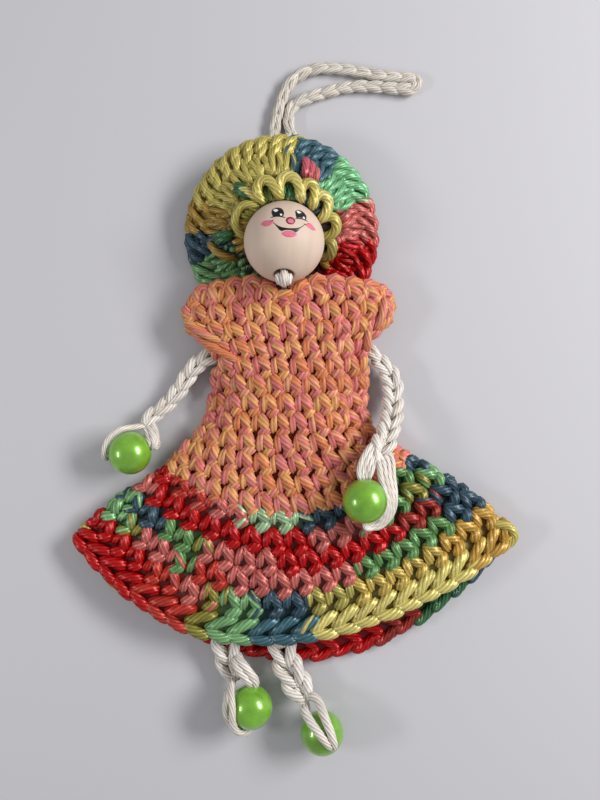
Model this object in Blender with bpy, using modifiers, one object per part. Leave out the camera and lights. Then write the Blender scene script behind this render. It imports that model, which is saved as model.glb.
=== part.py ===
"""A crocheted doll with a wooden bead for a head, lying on its back.

+Z points up from the surface that the doll lies on, +Y towards its hat and
+X to the viewer's right. The origin is on that surface, under the waist.
Left and right are the viewer's. Every length is in metres.
"""
import math

import bpy
from mathutils import Vector

# Clearances
GAP = 0.0003
CORD_GAP = 0.0004

# Head bead and the knot under its chin
HEAD_D = 0.025
HEAD_BORE_D = 0.0062
HEAD_X = -0.0016
HEAD_Y = 0.049
HEAD_TILT = math.radians(25)
HEAD_STEPS = 36
CHIN_KNOT_D = 0.0056
CHIN_KNOT_OUT = 0.0007
CHIN_KNOT_STEPS = 16
HEAD_CORD_D = 0.0046
HEAD_CORD_OUT = 0.0104
CROWN_HOLE_GAP = 0.0012

# Hat: a crown round the back of the head and a brim that lies flat under the neck
HAT_WALL = 0.0026
CROWN_CLEARANCE = 0.0007
CROWN_LIFT = 0.0012
BRIM_X = -0.0026
BRIM_Y = 0.053
BRIM_R = 0.0312
BRIM_TUCK = 0.0042
BRIM_RISE = 0.0061
BRIM_EDGE_Z = 0.0049
BRIM_FLAT_Y = 0.041
BRIM_RISE_LENGTH = 0.0085
BRIM_FOLD_R = 0.0168
BRIM_FOLD_Y = 0.052
BRIM_FOLD_Z = 0.0122
BRIM_FOLD_RISE = 0.0062
HAT_STEPS = 40

# Crown rings: elevation of the ring's axis below +Y and half angle of the ring, degrees
CROWN_RINGS = [(25, None), (30.3, 23.7), (42, 39), (48, 62)]
# Brim rings between the fold beside the head and the outer edge
BRIM_SHARES = [0.0, 0.14, 0.36, 0.68, 1.0]

# Dress
DRESS_WALL = 0.0022
NECK_Y = 0.0375
NECK_DIP = 0.0062
NECK_DIP_WIDTH = 0.0062
BODICE_LENGTH = 0.075
CHEST_HALF_WIDTH = 0.0255
BODICE_HEIGHT = 0.012
SEAM_GAP = 0.0004
SKIRT_LENGTH = 0.0389
HEM_HALF_WIDTH = 0.0715
SKIRT_HEIGHT = 0.0108
HEM_WAVE = 0.0008
HEM_WAVES = 3
# Rows of crochet stand out as ridges, with furrows between them in the outer side
FURROW_DEPTH = 0.0012
EDGE_DEPTH = 0.0006
BODICE_STITCH_ROWS = 12
# The wings' wall is thinner, down to this ring
WING_WALL = 0.0016
WING_FURROW_DEPTH = 0.0008
WING_LAST_RING = 3.4
SKIRT_FURROWS = [0.64, 1.68, 2.72, 3.76, 4.8]
SKIRT_RIDGES = [1.16, 2.2, 3.24, 4.28, 5.1, 5.7]
# How fast the furrows end as the sheet turns to face down
BACK_FADE = 1.1
LINE_STEPS = 18
FOLD_STEPS = 5
# How boxy a row's upper side is, and where near its end the fold takes its direction
FLATNESS = 4
FOLD_SHARE = 0.9

# Bodice rows from neck to seam, as shares of its length, half width and height:
# middle drop, left x, left drop, right x, right drop, base, side height, top
BODICE_ROW_SHARES = [
    (0.000, -1.215, 0.043, 1.235, 0.030, 0.25, 0.50, 1.08),
    (0.103, -1.350, 0.109, 1.310, 0.073, 0.25, 0.50, 1.06),
    (0.190, -1.310, 0.187, 1.280, 0.156, 0.25, 0.50, 1.05),
    (0.273, -1.120, 0.257, 1.090, 0.249, 0.00, 0.80, 1.03),
    (0.353, -1.010, 0.340, 1.015, 0.335, 0.00, 0.80, 1.02),
    (0.439, -0.995, 0.431, 0.990, 0.431, 0.00, 0.58, 1.00),
    (0.527, -1.030, 0.513, 0.980, 0.513, 0.00, 0.58, 0.98),
    (0.620, -1.110, 0.588, 1.010, 0.584, 0.00, 0.58, 0.96),
    (0.713, -1.230, 0.655, 1.110, 0.641, 0.00, 0.58, 0.95),
    (0.807, -1.400, 0.716, 1.310, 0.695, 0.00, 0.57, 0.94),
    (0.900, -1.510, 0.753, 1.450, 0.721, 0.00, 0.56, 0.93),
    (0.996, -1.610, 0.788, 1.560, 0.744, 0.00, 0.55, 0.92),
]
# Skirt rows from seam to hem, as shares of its length, half width and height:
# front drop, back drop, left x, left drop, right x, right drop, front low x, back low x, side, top
SKIRT_ROW_SHARES = [
    (0.000, 0.000, -0.579, -0.406, 0.562, -0.491, 0.000, 0.000, 0.61, 1.02),
    (0.157, 0.183, -0.655, -0.316, 0.652, -0.404, -0.028, 0.007, 0.61, 1.02),
    (0.324, 0.375, -0.733, -0.219, 0.738, -0.311, -0.056, 0.014, 0.60, 1.01),
    (0.491, 0.568, -0.806, -0.126, 0.822, -0.206, -0.084, 0.021, 0.60, 1.00),
    (0.658, 0.774, -0.871, -0.033, 0.898, -0.095, -0.112, 0.028, 0.60, 0.99),
    (0.826, 0.979, -0.931, 0.062, 0.968, 0.023, -0.140, 0.035, 0.59, 0.98),
    (0.995, 1.185, -0.982, 0.162, 1.024, 0.141, -0.168, 0.042, 0.59, 0.98),
]
ROW_CURVE = 2.1

# Cords, and the length of their steps as a share of their radius
LIMB_STEP_SHARE = 0.9
INNER_STEP_SHARE = 1.8
LOOP_STEP_SHARE = 1.4
ROUND_END_DEGREES = (12, 36, 62)
# Radius of the body's cord at the chin and after it, as shares of its full radius
CHIN_RADIUS_SHARES = (0.7, 0.85)
ARM_D = 0.005
LEG_D = 0.0052
TORSO_D = 0.0034
SHOULDER_D = 0.0028
LOOP_D = 0.003
STRAND_D = 0.0026
BORE_STRAND_D = 0.0019

# Green beads that stand for hands and feet
BEAD_D = 0.014
BEAD_BORE_D = 0.0026
BEAD_STEPS = 22
BEAD_R = BEAD_D / 2
HAND_LIFT = 0.0113

# Where the limbs hang from: centre of each cord's round end
SHOULDER_Z = 0.0053
SHOULDER_SLACK = 0.0014
SHOULDER_Y = 0.0143
LEFT_SHOULDER_X = -0.0252
RIGHT_SHOULDER_X = 0.0266
HIP_Y = -0.050
HIP_X = -0.0105
HIP_Z = DRESS_WALL + GAP + LEG_D / 2
ARMHOLE_R = 0.0046
ARMHOLE_OUT = 0.0017
ARMHOLE_STEPS = 24

# Routes: x, y and z of points on each cord's middle line
LEFT_ARM_ROUTE = [
    (-0.0286, 0.0126, 0.0050), (-0.0322, 0.0092, 0.0040), (-0.0364, 0.0030, 0.0030),
    (-0.0409, -0.0020, 0.0028), (-0.0453, -0.0055, 0.0030), (-0.0469, -0.0079, 0.0036),
]
RIGHT_ARM_ROUTE = [
    (0.0304, 0.0112, 0.0055), (0.0330, 0.0066, 0.0052), (0.0334, 0.0019, 0.0058),
    (0.0328, -0.0040, 0.0084), (0.0311, -0.0101, 0.0122), (0.0285, -0.0163, 0.0155),
]
LEFT_LEG_ROUTE = [
    (-0.0160, -0.0600, 0.0053), (-0.0198, -0.0700, 0.0053), (-0.0209, -0.0768, 0.0053),
    (-0.0205, -0.0812, 0.0050), (-0.0197, -0.0855, 0.0036), (-0.0183, -0.0906, 0.0034),
]
RIGHT_LEG_ROUTE = [
    (-0.0062, -0.0610, 0.0053), (-0.0046, -0.0700, 0.0053), (-0.0032, -0.0778, 0.0053),
    (-0.0012, -0.0850, 0.0053), (0.0007, -0.0887, 0.0053), (0.0028, -0.0928, 0.0051),
    (0.0054, -0.0966, 0.0060),
]
SHOULDER_ROUTE = [(-0.0120, 0.0145, 0.0078), (-0.0030, 0.0146, 0.0084), (0.0110, 0.0145, 0.0078)]
# The body's cord: first the points below the chin, from the knot's centre
CHIN_ROUTE = [(0.0, -0.0029, -0.0046), (0.0, -0.0030, -0.0071), (0.0, -0.0032, -0.0101)]
TORSO_ROUTE = [
    (-0.0016, 0.0335, 0.0099), (-0.0017, 0.0308, 0.0083), (-0.0020, 0.0250, 0.0079),
    (-0.0027, 0.0150, 0.0049), (-0.0045, 0.0000, 0.0044), (-0.0075, -0.0200, 0.0048),
    (-0.0105, -0.0455, 0.0052),
]
LOOP_OUT_ROUTE = [
    (-0.0043, 0.0772, 0.0038), (-0.0050, 0.0820, 0.0019), (-0.0053, 0.0870, 0.0016),
    (-0.0044, 0.0925, 0.0016), (-0.0031, 0.0975, 0.0016), (-0.0013, 0.1020, 0.0016),
    (0.0017, 0.1060, 0.0016), (0.0060, 0.1083, 0.0016), (0.0115, 0.1093, 0.0016),
    (0.0198, 0.1086, 0.0016), (0.0280, 0.1071, 0.0016), (0.0362, 0.1062, 0.0016),
    (0.0400, 0.1061, 0.0016),
]
LOOP_TIP = (0.0420, 0.1042, 0.0016)
LOOP_BACK_ROUTE = [
    (0.0400, 0.1023, 0.0016), (0.0362, 0.1025, 0.0016), (0.0272, 0.1033, 0.0016),
    (0.0185, 0.1030, 0.0016), (0.0100, 0.1008, 0.0016), (0.0035, 0.0984, 0.0016),
    (0.0004, 0.0957, 0.0016), (-0.0005, 0.0915, 0.0016), (0.0005, 0.0870, 0.0016),
    (0.0012, 0.0820, 0.0019), (0.0009, 0.0772, 0.0038),
]

# Green beads: centre x and y, the way the bore points to its near mouth, and the
# side on which the yarn passes the bead
LEFT_HAND_XY = (-0.0516, -0.0171)
LEFT_HAND_BORE = (0.966, 0.259, 0.0)
LEFT_HAND_SIDE = (-0.259, 0.966, 0.0)
RIGHT_HAND_XY = (0.0234, -0.0312)
RIGHT_HAND_BORE = (0.0, 1.0, 0.0)
RIGHT_HAND_SIDE = (1.0, 0.0, 0.0)
LEFT_FOOT_XY = (-0.0125, -0.0991)
LEFT_FOOT_BORE = (0.10, 0.995, 0.0)
LEFT_FOOT_SIDE = (-1.0, 0.0, 0.0)
RIGHT_FOOT_XY = (0.0104, -0.1075)
RIGHT_FOOT_BORE = (-0.45, 0.30, -0.84)
RIGHT_FOOT_SIDE = (-0.26, 0.93, 0.26)
LOOP_ARC_DEGREES = (78, 104, 130, 152)
# Where the yarn turns into a bore: outwards and sideways, as shares of its radius
TURN_SHARES = ((1.6, 1.7), (1.45, 0.3))
# Points along a bore, and the start of the yarn's free end, as shares of a bead's radius
BORE_SHARES = (-0.97, -0.5, 0.0, 0.5, 0.97)
TAIL_START_SHARE = 1.2
# How far out and how far sideways each free end reaches, as shares of a bead's radius
LEFT_HAND_TAIL_SHARES = (1.3, 0.55)
RIGHT_HAND_TAIL_SHARES = (1.6, 0.1)
LEFT_FOOT_TAIL_SHARES = (1.35, 0.2)

HEAD_R = HEAD_D / 2
CROWN_R = HEAD_R + CROWN_CLEARANCE
HEAD_Z = CROWN_R + HAT_WALL + CROWN_LIFT
HEAD_CENTRE = Vector((HEAD_X, HEAD_Y, HEAD_Z))
CROWN_AXIS = Vector((0, math.cos(HEAD_TILT), -math.sin(HEAD_TILT)))
CROWN_HOLE_R = HEAD_CORD_D / 2 + CROWN_HOLE_GAP


def clear_scene():
    for obj in list(bpy.data.objects):
        bpy.data.objects.remove(obj, do_unlink=True)


def new_collection(name):
    collection = bpy.data.collections.new(name)
    bpy.context.scene.collection.children.link(collection)
    return collection


def new_material(name, colour, roughness, metallic=0.0):
    material = bpy.data.materials.new(name)
    material.use_nodes = True
    shader = material.node_tree.nodes["Principled BSDF"]
    shader.inputs["Base Color"].default_value = (*colour, 1)
    shader.inputs["Roughness"].default_value = roughness
    shader.inputs["Metallic"].default_value = metallic
    return material


def add_object(name, data, collection, material=None):
    obj = bpy.data.objects.new(name, data)
    collection.objects.link(obj)
    if material:
        data.materials.append(material)
    return obj


def take_primitive(name, collection):
    """Name the primitive that was just added and keep it in the collection alone."""
    obj = bpy.context.object
    obj.name = name
    for owner in list(obj.users_collection):
        owner.objects.unlink(obj)
    collection.objects.link(obj)
    return obj


def smooth_between(points, index, share):
    """A point on the Catmull-Rom curve through the points, after the one at index."""
    last = len(points) - 1
    before = points[max(index - 1, 0)]
    start = points[index]
    end = points[min(index + 1, last)]
    after = points[min(index + 2, last)]
    linear = (end - before) / 2
    square = before - start * 2.5 + end * 2 - after / 2
    cube = (after - before) / 2 + (start - end) * 1.5
    return start + linear * share + square * share**2 + cube * share**3


def smooth_route(points, step_share):
    """Points along a smooth curve, a share of the local radius apart.

    Each point is x, y, z and the cord's radius there.
    """
    vectors = [Vector(point) for point in points]
    route = [vectors[0]]
    for index in range(len(vectors) - 1):
        length = (vectors[index + 1].xyz - vectors[index].xyz).length
        radius = (vectors[index + 1].w + vectors[index].w) / 2
        count = max(1, round(length / (radius * step_share)))
        for step in range(1, count + 1):
            route.append(smooth_between(vectors, index, step / count))
    return route


def with_radius(points, radius):
    return [(*point, radius) for point in points]


def tube(name, route, origin, collection, material, sides_resolution=2):
    """A round cord along the route, with flat ends and its object's origin as given."""
    thickest = max(point[3] for point in route)
    curve = bpy.data.curves.new(name, "CURVE")
    curve.dimensions = "3D"
    curve.bevel_depth = thickest
    curve.bevel_resolution = sides_resolution
    curve.use_fill_caps = True
    curve.render_resolution_u = 0
    spline = curve.splines.new("POLY")
    spline.points.add(len(route) - 1)
    for point, place in zip(spline.points, route):
        point.co = (*(Vector(place[:3]) - Vector(origin)), 1)
        point.radius = place[3] / thickest
    spline.use_smooth = True
    obj = add_object(name, curve, collection, material)
    obj.location = origin
    return obj


def round_end(centre, towards, radius):
    """Rings of a half ball on the end of a cord, from its pole to its widest ring."""
    away = (Vector(centre) - Vector(towards)).normalized()
    rings = []
    for degrees in ROUND_END_DEGREES:
        along = radius * math.cos(math.radians(degrees))
        rings.append((*(Vector(centre) + away * along), radius * math.sin(math.radians(degrees))))
    rings.append((*centre, radius))
    return [Vector(ring) for ring in rings]


def turned(name, profile, steps, collection, material):
    """A closed profile of (radius, height) points turned round Z."""
    mesh = bpy.data.meshes.new(name)
    count = len(profile)
    edges = [(index, (index + 1) % count) for index in range(count)]
    mesh.from_pydata([(radius, 0, height) for radius, height in profile], edges, [])
    obj = add_object(name, mesh, collection, material)
    screw = obj.modifiers.new("Turn", "SCREW")
    screw.steps = steps
    screw.render_steps = steps
    screw.merge_threshold = 0.00001
    screw.use_smooth_shade = True
    return obj


def bead(name, diameter, bore, centre, axis, steps, collection, material):
    """A ball with a straight bore along the axis."""
    radius = diameter / 2
    bore_radius = bore / 2
    mouth = math.asin(bore_radius / radius)
    arcs = steps // 2 - 1
    profile = []
    for index in range(arcs + 1):
        angle = mouth + (math.pi - 2 * mouth) * index / arcs
        profile.append((radius * math.sin(angle), radius * math.cos(angle)))
    obj = turned(name, profile, steps, collection, material)
    obj.rotation_mode = "QUATERNION"
    obj.rotation_quaternion = Vector((0, 0, 1)).rotation_difference(Vector(axis).normalized())
    obj.location = centre
    return obj


def shell(name, rings, wall, origin, collection, material):
    """A sheet through the rings, thickened away from its front by Solidify."""
    count = len(rings[0])
    vertices = [point - Vector(origin) for ring in rings for point in ring]
    faces = []
    for row in range(len(rings) - 1):
        for index in range(count):
            after = (index + 1) % count
            faces.append((row * count + index, (row + 1) * count + index,
                          (row + 1) * count + after, row * count + after))
    mesh = bpy.data.meshes.new(name)
    mesh.from_pydata(vertices, [], faces)
    mesh.shade_smooth()
    obj = add_object(name, mesh, collection, material)
    obj.location = origin
    solidify = obj.modifiers.new("Wall", "SOLIDIFY")
    solidify.thickness = wall
    solidify.offset = -1
    return obj


def ring_between(rings, level):
    """A ring of the smooth surface through the rings, at a ring number.

    Where the smooth surface would dip below the table, it lies on the table.
    """
    index = min(int(level), len(rings) - 2)
    ring = [smooth_between(column, index, level - index) for column in zip(*rings)]
    return [Vector((point.x, point.y, max(point.z, 0.0))) for point in ring]


def ridged_shell(name, rings, levels, collection, material):
    """A closed sheet through the rings, with ridges and furrows along it.

    Each level is a ring number and how deep the sheet's outer and inner sides lie there.
    The side that faces down has no furrows, as the doll's weight presses it flat.
    """
    smooth = [ring_between(rings, level) for level, _, _ in levels]
    count = len(smooth[0])
    last = len(smooth) - 1
    outer = []
    inner = []
    for row, (_, depth, wall) in enumerate(levels):
        for index, point in enumerate(smooth[row]):
            down = smooth[min(row + 1, last)][index] - smooth[max(row - 1, 0)][index]
            around = smooth[row][(index + 1) % count] - smooth[row][index - 1]
            normal = down.cross(around).normalized()
            relief = min(max(1 + normal.z * BACK_FADE, 0), 1)
            outer.append(point - normal * (depth * relief))
            inner.append(point - normal * wall)
    behind = len(outer)
    faces = []
    for index in range(count):
        after = (index + 1) % count
        for row in range(last):
            corners = (row * count + index, (row + 1) * count + index,
                       (row + 1) * count + after, row * count + after)
            faces.append(corners)
            faces.append(tuple(corner + behind for corner in reversed(corners)))
        faces.append((index, after, after + behind, index + behind))
        low, low_after = last * count + index, last * count + after
        faces.append((low_after, low, low + behind, low_after + behind))
    mesh = bpy.data.meshes.new(name)
    mesh.from_pydata(outer + inner, [], faces)
    mesh.shade_smooth()
    return add_object(name, mesh, collection, material)


def bodice_levels():
    """Ring numbers and depths of the bodice's ridges and furrows."""
    last = len(BODICE_ROW_SHARES) - 1
    levels = [(0.0, EDGE_DEPTH, WING_WALL), (last, EDGE_DEPTH, DRESS_WALL)]
    for half_row in range(1, 2 * BODICE_STITCH_ROWS):
        level = half_row / 2 * last / BODICE_STITCH_ROWS
        in_wing = level < WING_LAST_RING
        furrow = WING_FURROW_DEPTH if in_wing else FURROW_DEPTH
        levels.append((level, 0.0 if half_row % 2 else furrow, WING_WALL if in_wing else DRESS_WALL))
    return sorted(levels)


def skirt_levels():
    """Ring numbers and depths of the skirt's ridges and furrows."""
    levels = [(0.0, 0.0), (len(SKIRT_ROW_SHARES) - 1, EDGE_DEPTH)]
    levels += [(level, FURROW_DEPTH) for level in SKIRT_FURROWS]
    levels += [(level, 0.0) for level in SKIRT_RIDGES]
    return [(level, depth, DRESS_WALL) for level, depth in sorted(levels)]


def cut(obj, cutter):
    cutter.hide_render = True
    cutter.display_type = "WIRE"
    boolean = obj.modifiers.new("Cut " + cutter.name, "BOOLEAN")
    boolean.operation = "DIFFERENCE"
    boolean.solver = "EXACT"
    boolean.object = cutter


def row_line(left, right, low, share):
    """A point on a curved row: share runs from -1 at the left end to 1 at the right."""
    x = left.x + (right.x - left.x) * (share + 1) / 2
    end = left if x < low.x else right
    reach = abs((x - low.x) / (end.x - low.x))
    return Vector((x, low.y + (end.y - low.y) * reach**ROW_CURVE))


def dress_ring(left, right, low_front, low_back, base, side, top, dip=0.0, wave=0.0):
    """One closed row round the flattened dress, front from left to right, then back."""
    fold_r = side / 2
    ends = {}
    for name, tip, other in (("left", left, right), ("right", right, left)):
        middle = (low_front + low_back) / 2
        inner = row_line(left, right, middle, -FOLD_SHARE if name == "left" else FOLD_SHARE)
        outward = (tip - inner).normalized()
        ends[name] = (tip - outward * fold_r, outward)
    left_end, left_out = ends["left"]
    right_end, right_out = ends["right"]
    ring = []
    for index in range(LINE_STEPS + 1):
        share = 2 * index / LINE_STEPS - 1
        place = row_line(left_end, right_end, low_front, share)
        crown = 1 - abs(share)**FLATNESS
        ripple = wave * crown * (1 - math.cos(HEM_WAVES * math.pi * (share + 1))) / 2
        notch = dip * math.exp(-((place.x - HEAD_X) / NECK_DIP_WIDTH)**2)
        height = base + side + (top - side) * crown + ripple
        ring.append(Vector((place.x, place.y - notch, height)))
    for index in range(1, FOLD_STEPS):
        angle = math.pi * index / FOLD_STEPS
        place = right_end + right_out * fold_r * math.sin(angle)
        ring.append(Vector((place.x, place.y, base + fold_r + fold_r * math.cos(angle))))
    for index in range(LINE_STEPS + 1):
        place = row_line(left_end, right_end, low_back, 1 - 2 * index / LINE_STEPS)
        ring.append(Vector((place.x, place.y, base)))
    for index in range(1, FOLD_STEPS):
        angle = math.pi * index / FOLD_STEPS
        place = left_end + left_out * fold_r * math.sin(angle)
        ring.append(Vector((place.x, place.y, base + fold_r - fold_r * math.cos(angle))))
    return ring


def bodice_rings():
    rings = []
    for index, shares in enumerate(BODICE_ROW_SHARES):
        middle, left_x, left_drop, right_x, right_drop, base, side, top = shares
        low = Vector((0, NECK_Y - middle * BODICE_LENGTH))
        left = Vector((left_x * CHEST_HALF_WIDTH, NECK_Y - left_drop * BODICE_LENGTH))
        right = Vector((right_x * CHEST_HALF_WIDTH, NECK_Y - right_drop * BODICE_LENGTH))
        dip = NECK_DIP if index == 0 else 0.0
        rings.append(dress_ring(left, right, low, low, base * BODICE_HEIGHT,
                                side * BODICE_HEIGHT, (top - base) * BODICE_HEIGHT, dip))
    return rings


def skirt_rings():
    seam_y = NECK_Y - BODICE_ROW_SHARES[-1][0] * BODICE_LENGTH - SEAM_GAP
    rings = []
    for index, shares in enumerate(SKIRT_ROW_SHARES):
        front, back, left_x, left_drop, right_x, right_drop, front_x, back_x, side, top = shares
        low_front = Vector((front_x * HEM_HALF_WIDTH, seam_y - front * SKIRT_LENGTH))
        low_back = Vector((back_x * HEM_HALF_WIDTH, seam_y - back * SKIRT_LENGTH))
        left = Vector((left_x * HEM_HALF_WIDTH, seam_y - left_drop * SKIRT_LENGTH))
        right = Vector((right_x * HEM_HALF_WIDTH, seam_y - right_drop * SKIRT_LENGTH))
        wave = HEM_WAVE * index / (len(SKIRT_ROW_SHARES) - 1)
        rings.append(dress_ring(left, right, low_front, low_back, 0.0, side * SKIRT_HEIGHT,
                                top * SKIRT_HEIGHT, 0.0, wave))
    return rings


def crown_ring(elevation, half_angle):
    """A ring on the ball of the crown's inside, about an axis below the horizon."""
    axis = Vector((0, math.cos(elevation), -math.sin(elevation)))
    up = Vector((0, math.sin(elevation), math.cos(elevation)))
    ring = []
    for index in range(HAT_STEPS):
        angle = 2 * math.pi * index / HAT_STEPS
        out = Vector((math.cos(angle), 0, 0)) + up * math.sin(angle)
        ring.append(HEAD_CENTRE + (axis * math.cos(half_angle) + out * math.sin(half_angle)) * CROWN_R)
    return ring


def brim_ring(share):
    """A ring of the brim, from the fold beside the head at 0 to its edge at 1."""
    ring = []
    for index in range(HAT_STEPS):
        angle = 2 * math.pi * index / HAT_STEPS
        tuck = BRIM_TUCK * min(math.sin(angle), 0)**2
        radius = BRIM_FOLD_R + (BRIM_R - BRIM_FOLD_R) * share - tuck
        x = HEAD_X + (BRIM_X - HEAD_X) * share + radius * math.cos(angle)
        y = BRIM_FOLD_Y + (BRIM_Y - BRIM_FOLD_Y) * share + radius * math.sin(angle)
        rise = BRIM_FOLD_RISE + (BRIM_RISE - BRIM_FOLD_RISE) * share
        level = BRIM_FOLD_Z + (BRIM_EDGE_Z - BRIM_FOLD_Z) * share
        height = level + rise * math.sin(angle)
        lift = min(max((y - BRIM_FLAT_Y) / BRIM_RISE_LENGTH, 0), 1)
        smooth = lift * lift * (3 - 2 * lift)
        ring.append(Vector((x, y, HAT_WALL + (height - HAT_WALL) * smooth)))
    return ring


def hat_rings():
    rings = []
    for elevation, half_angle in CROWN_RINGS:
        if half_angle is None:
            opening = math.asin(CROWN_HOLE_R / CROWN_R)
        else:
            opening = math.radians(half_angle)
        rings.append(crown_ring(math.radians(elevation), opening))
    return rings + [brim_ring(share) for share in BRIM_SHARES]


def bead_loop(centre, bore, side):
    """The yarn's way past a bead, in at the far mouth of its bore and out again.

    The bore vector points from the far mouth to the near one.
    """
    along = Vector(bore).normalized()
    across = (Vector(side) - along * along.dot(Vector(side))).normalized()
    strand_r = STRAND_D / 2
    bore_r = BORE_STRAND_D / 2
    reach = BEAD_R + CORD_GAP + strand_r
    loop = []
    for degrees in LOOP_ARC_DEGREES:
        angle = math.radians(degrees)
        loop.append((centre + (along * math.cos(angle) + across * math.sin(angle)) * reach, strand_r))
    turn_r = (strand_r + bore_r) / 2
    for out_share, side_share in TURN_SHARES:
        out = along * (BEAD_R + strand_r * out_share)
        loop.append((centre - out + across * (strand_r * side_share), turn_r))
    for share in BORE_SHARES:
        loop.append((centre + along * (BEAD_R * share), bore_r))
    return [(*place, radius) for place, radius in loop]


def near_tail(centre, bore, side, out_share, side_share):
    """The end of the yarn outside the near mouth."""
    along = Vector(bore).normalized()
    across = (Vector(side) - along * along.dot(Vector(side))).normalized()
    first = centre + along * (BEAD_R * TAIL_START_SHARE) + across * (BEAD_R * side_share / 3)
    last = centre + along * (BEAD_R * out_share) + across * (BEAD_R * side_share)
    return [(*first, BORE_STRAND_D / 2), (*last, BORE_STRAND_D / 2)]


def limb(name, hang, route, diameter, loop, tail, collection, material):
    """A cord with a round end at the point it hangs from, ending in a loop through a bead."""
    radius = diameter / 2
    wrist = (*route[-1], (radius + STRAND_D / 2) / 2)
    points = [(*hang, radius)] + with_radius(route[:-1], radius) + [wrist] + loop + tail
    path = round_end(hang, route[0], radius)[:-1] + smooth_route(points, LIMB_STEP_SHARE)
    return tube(name, path, hang, collection, material)


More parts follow.
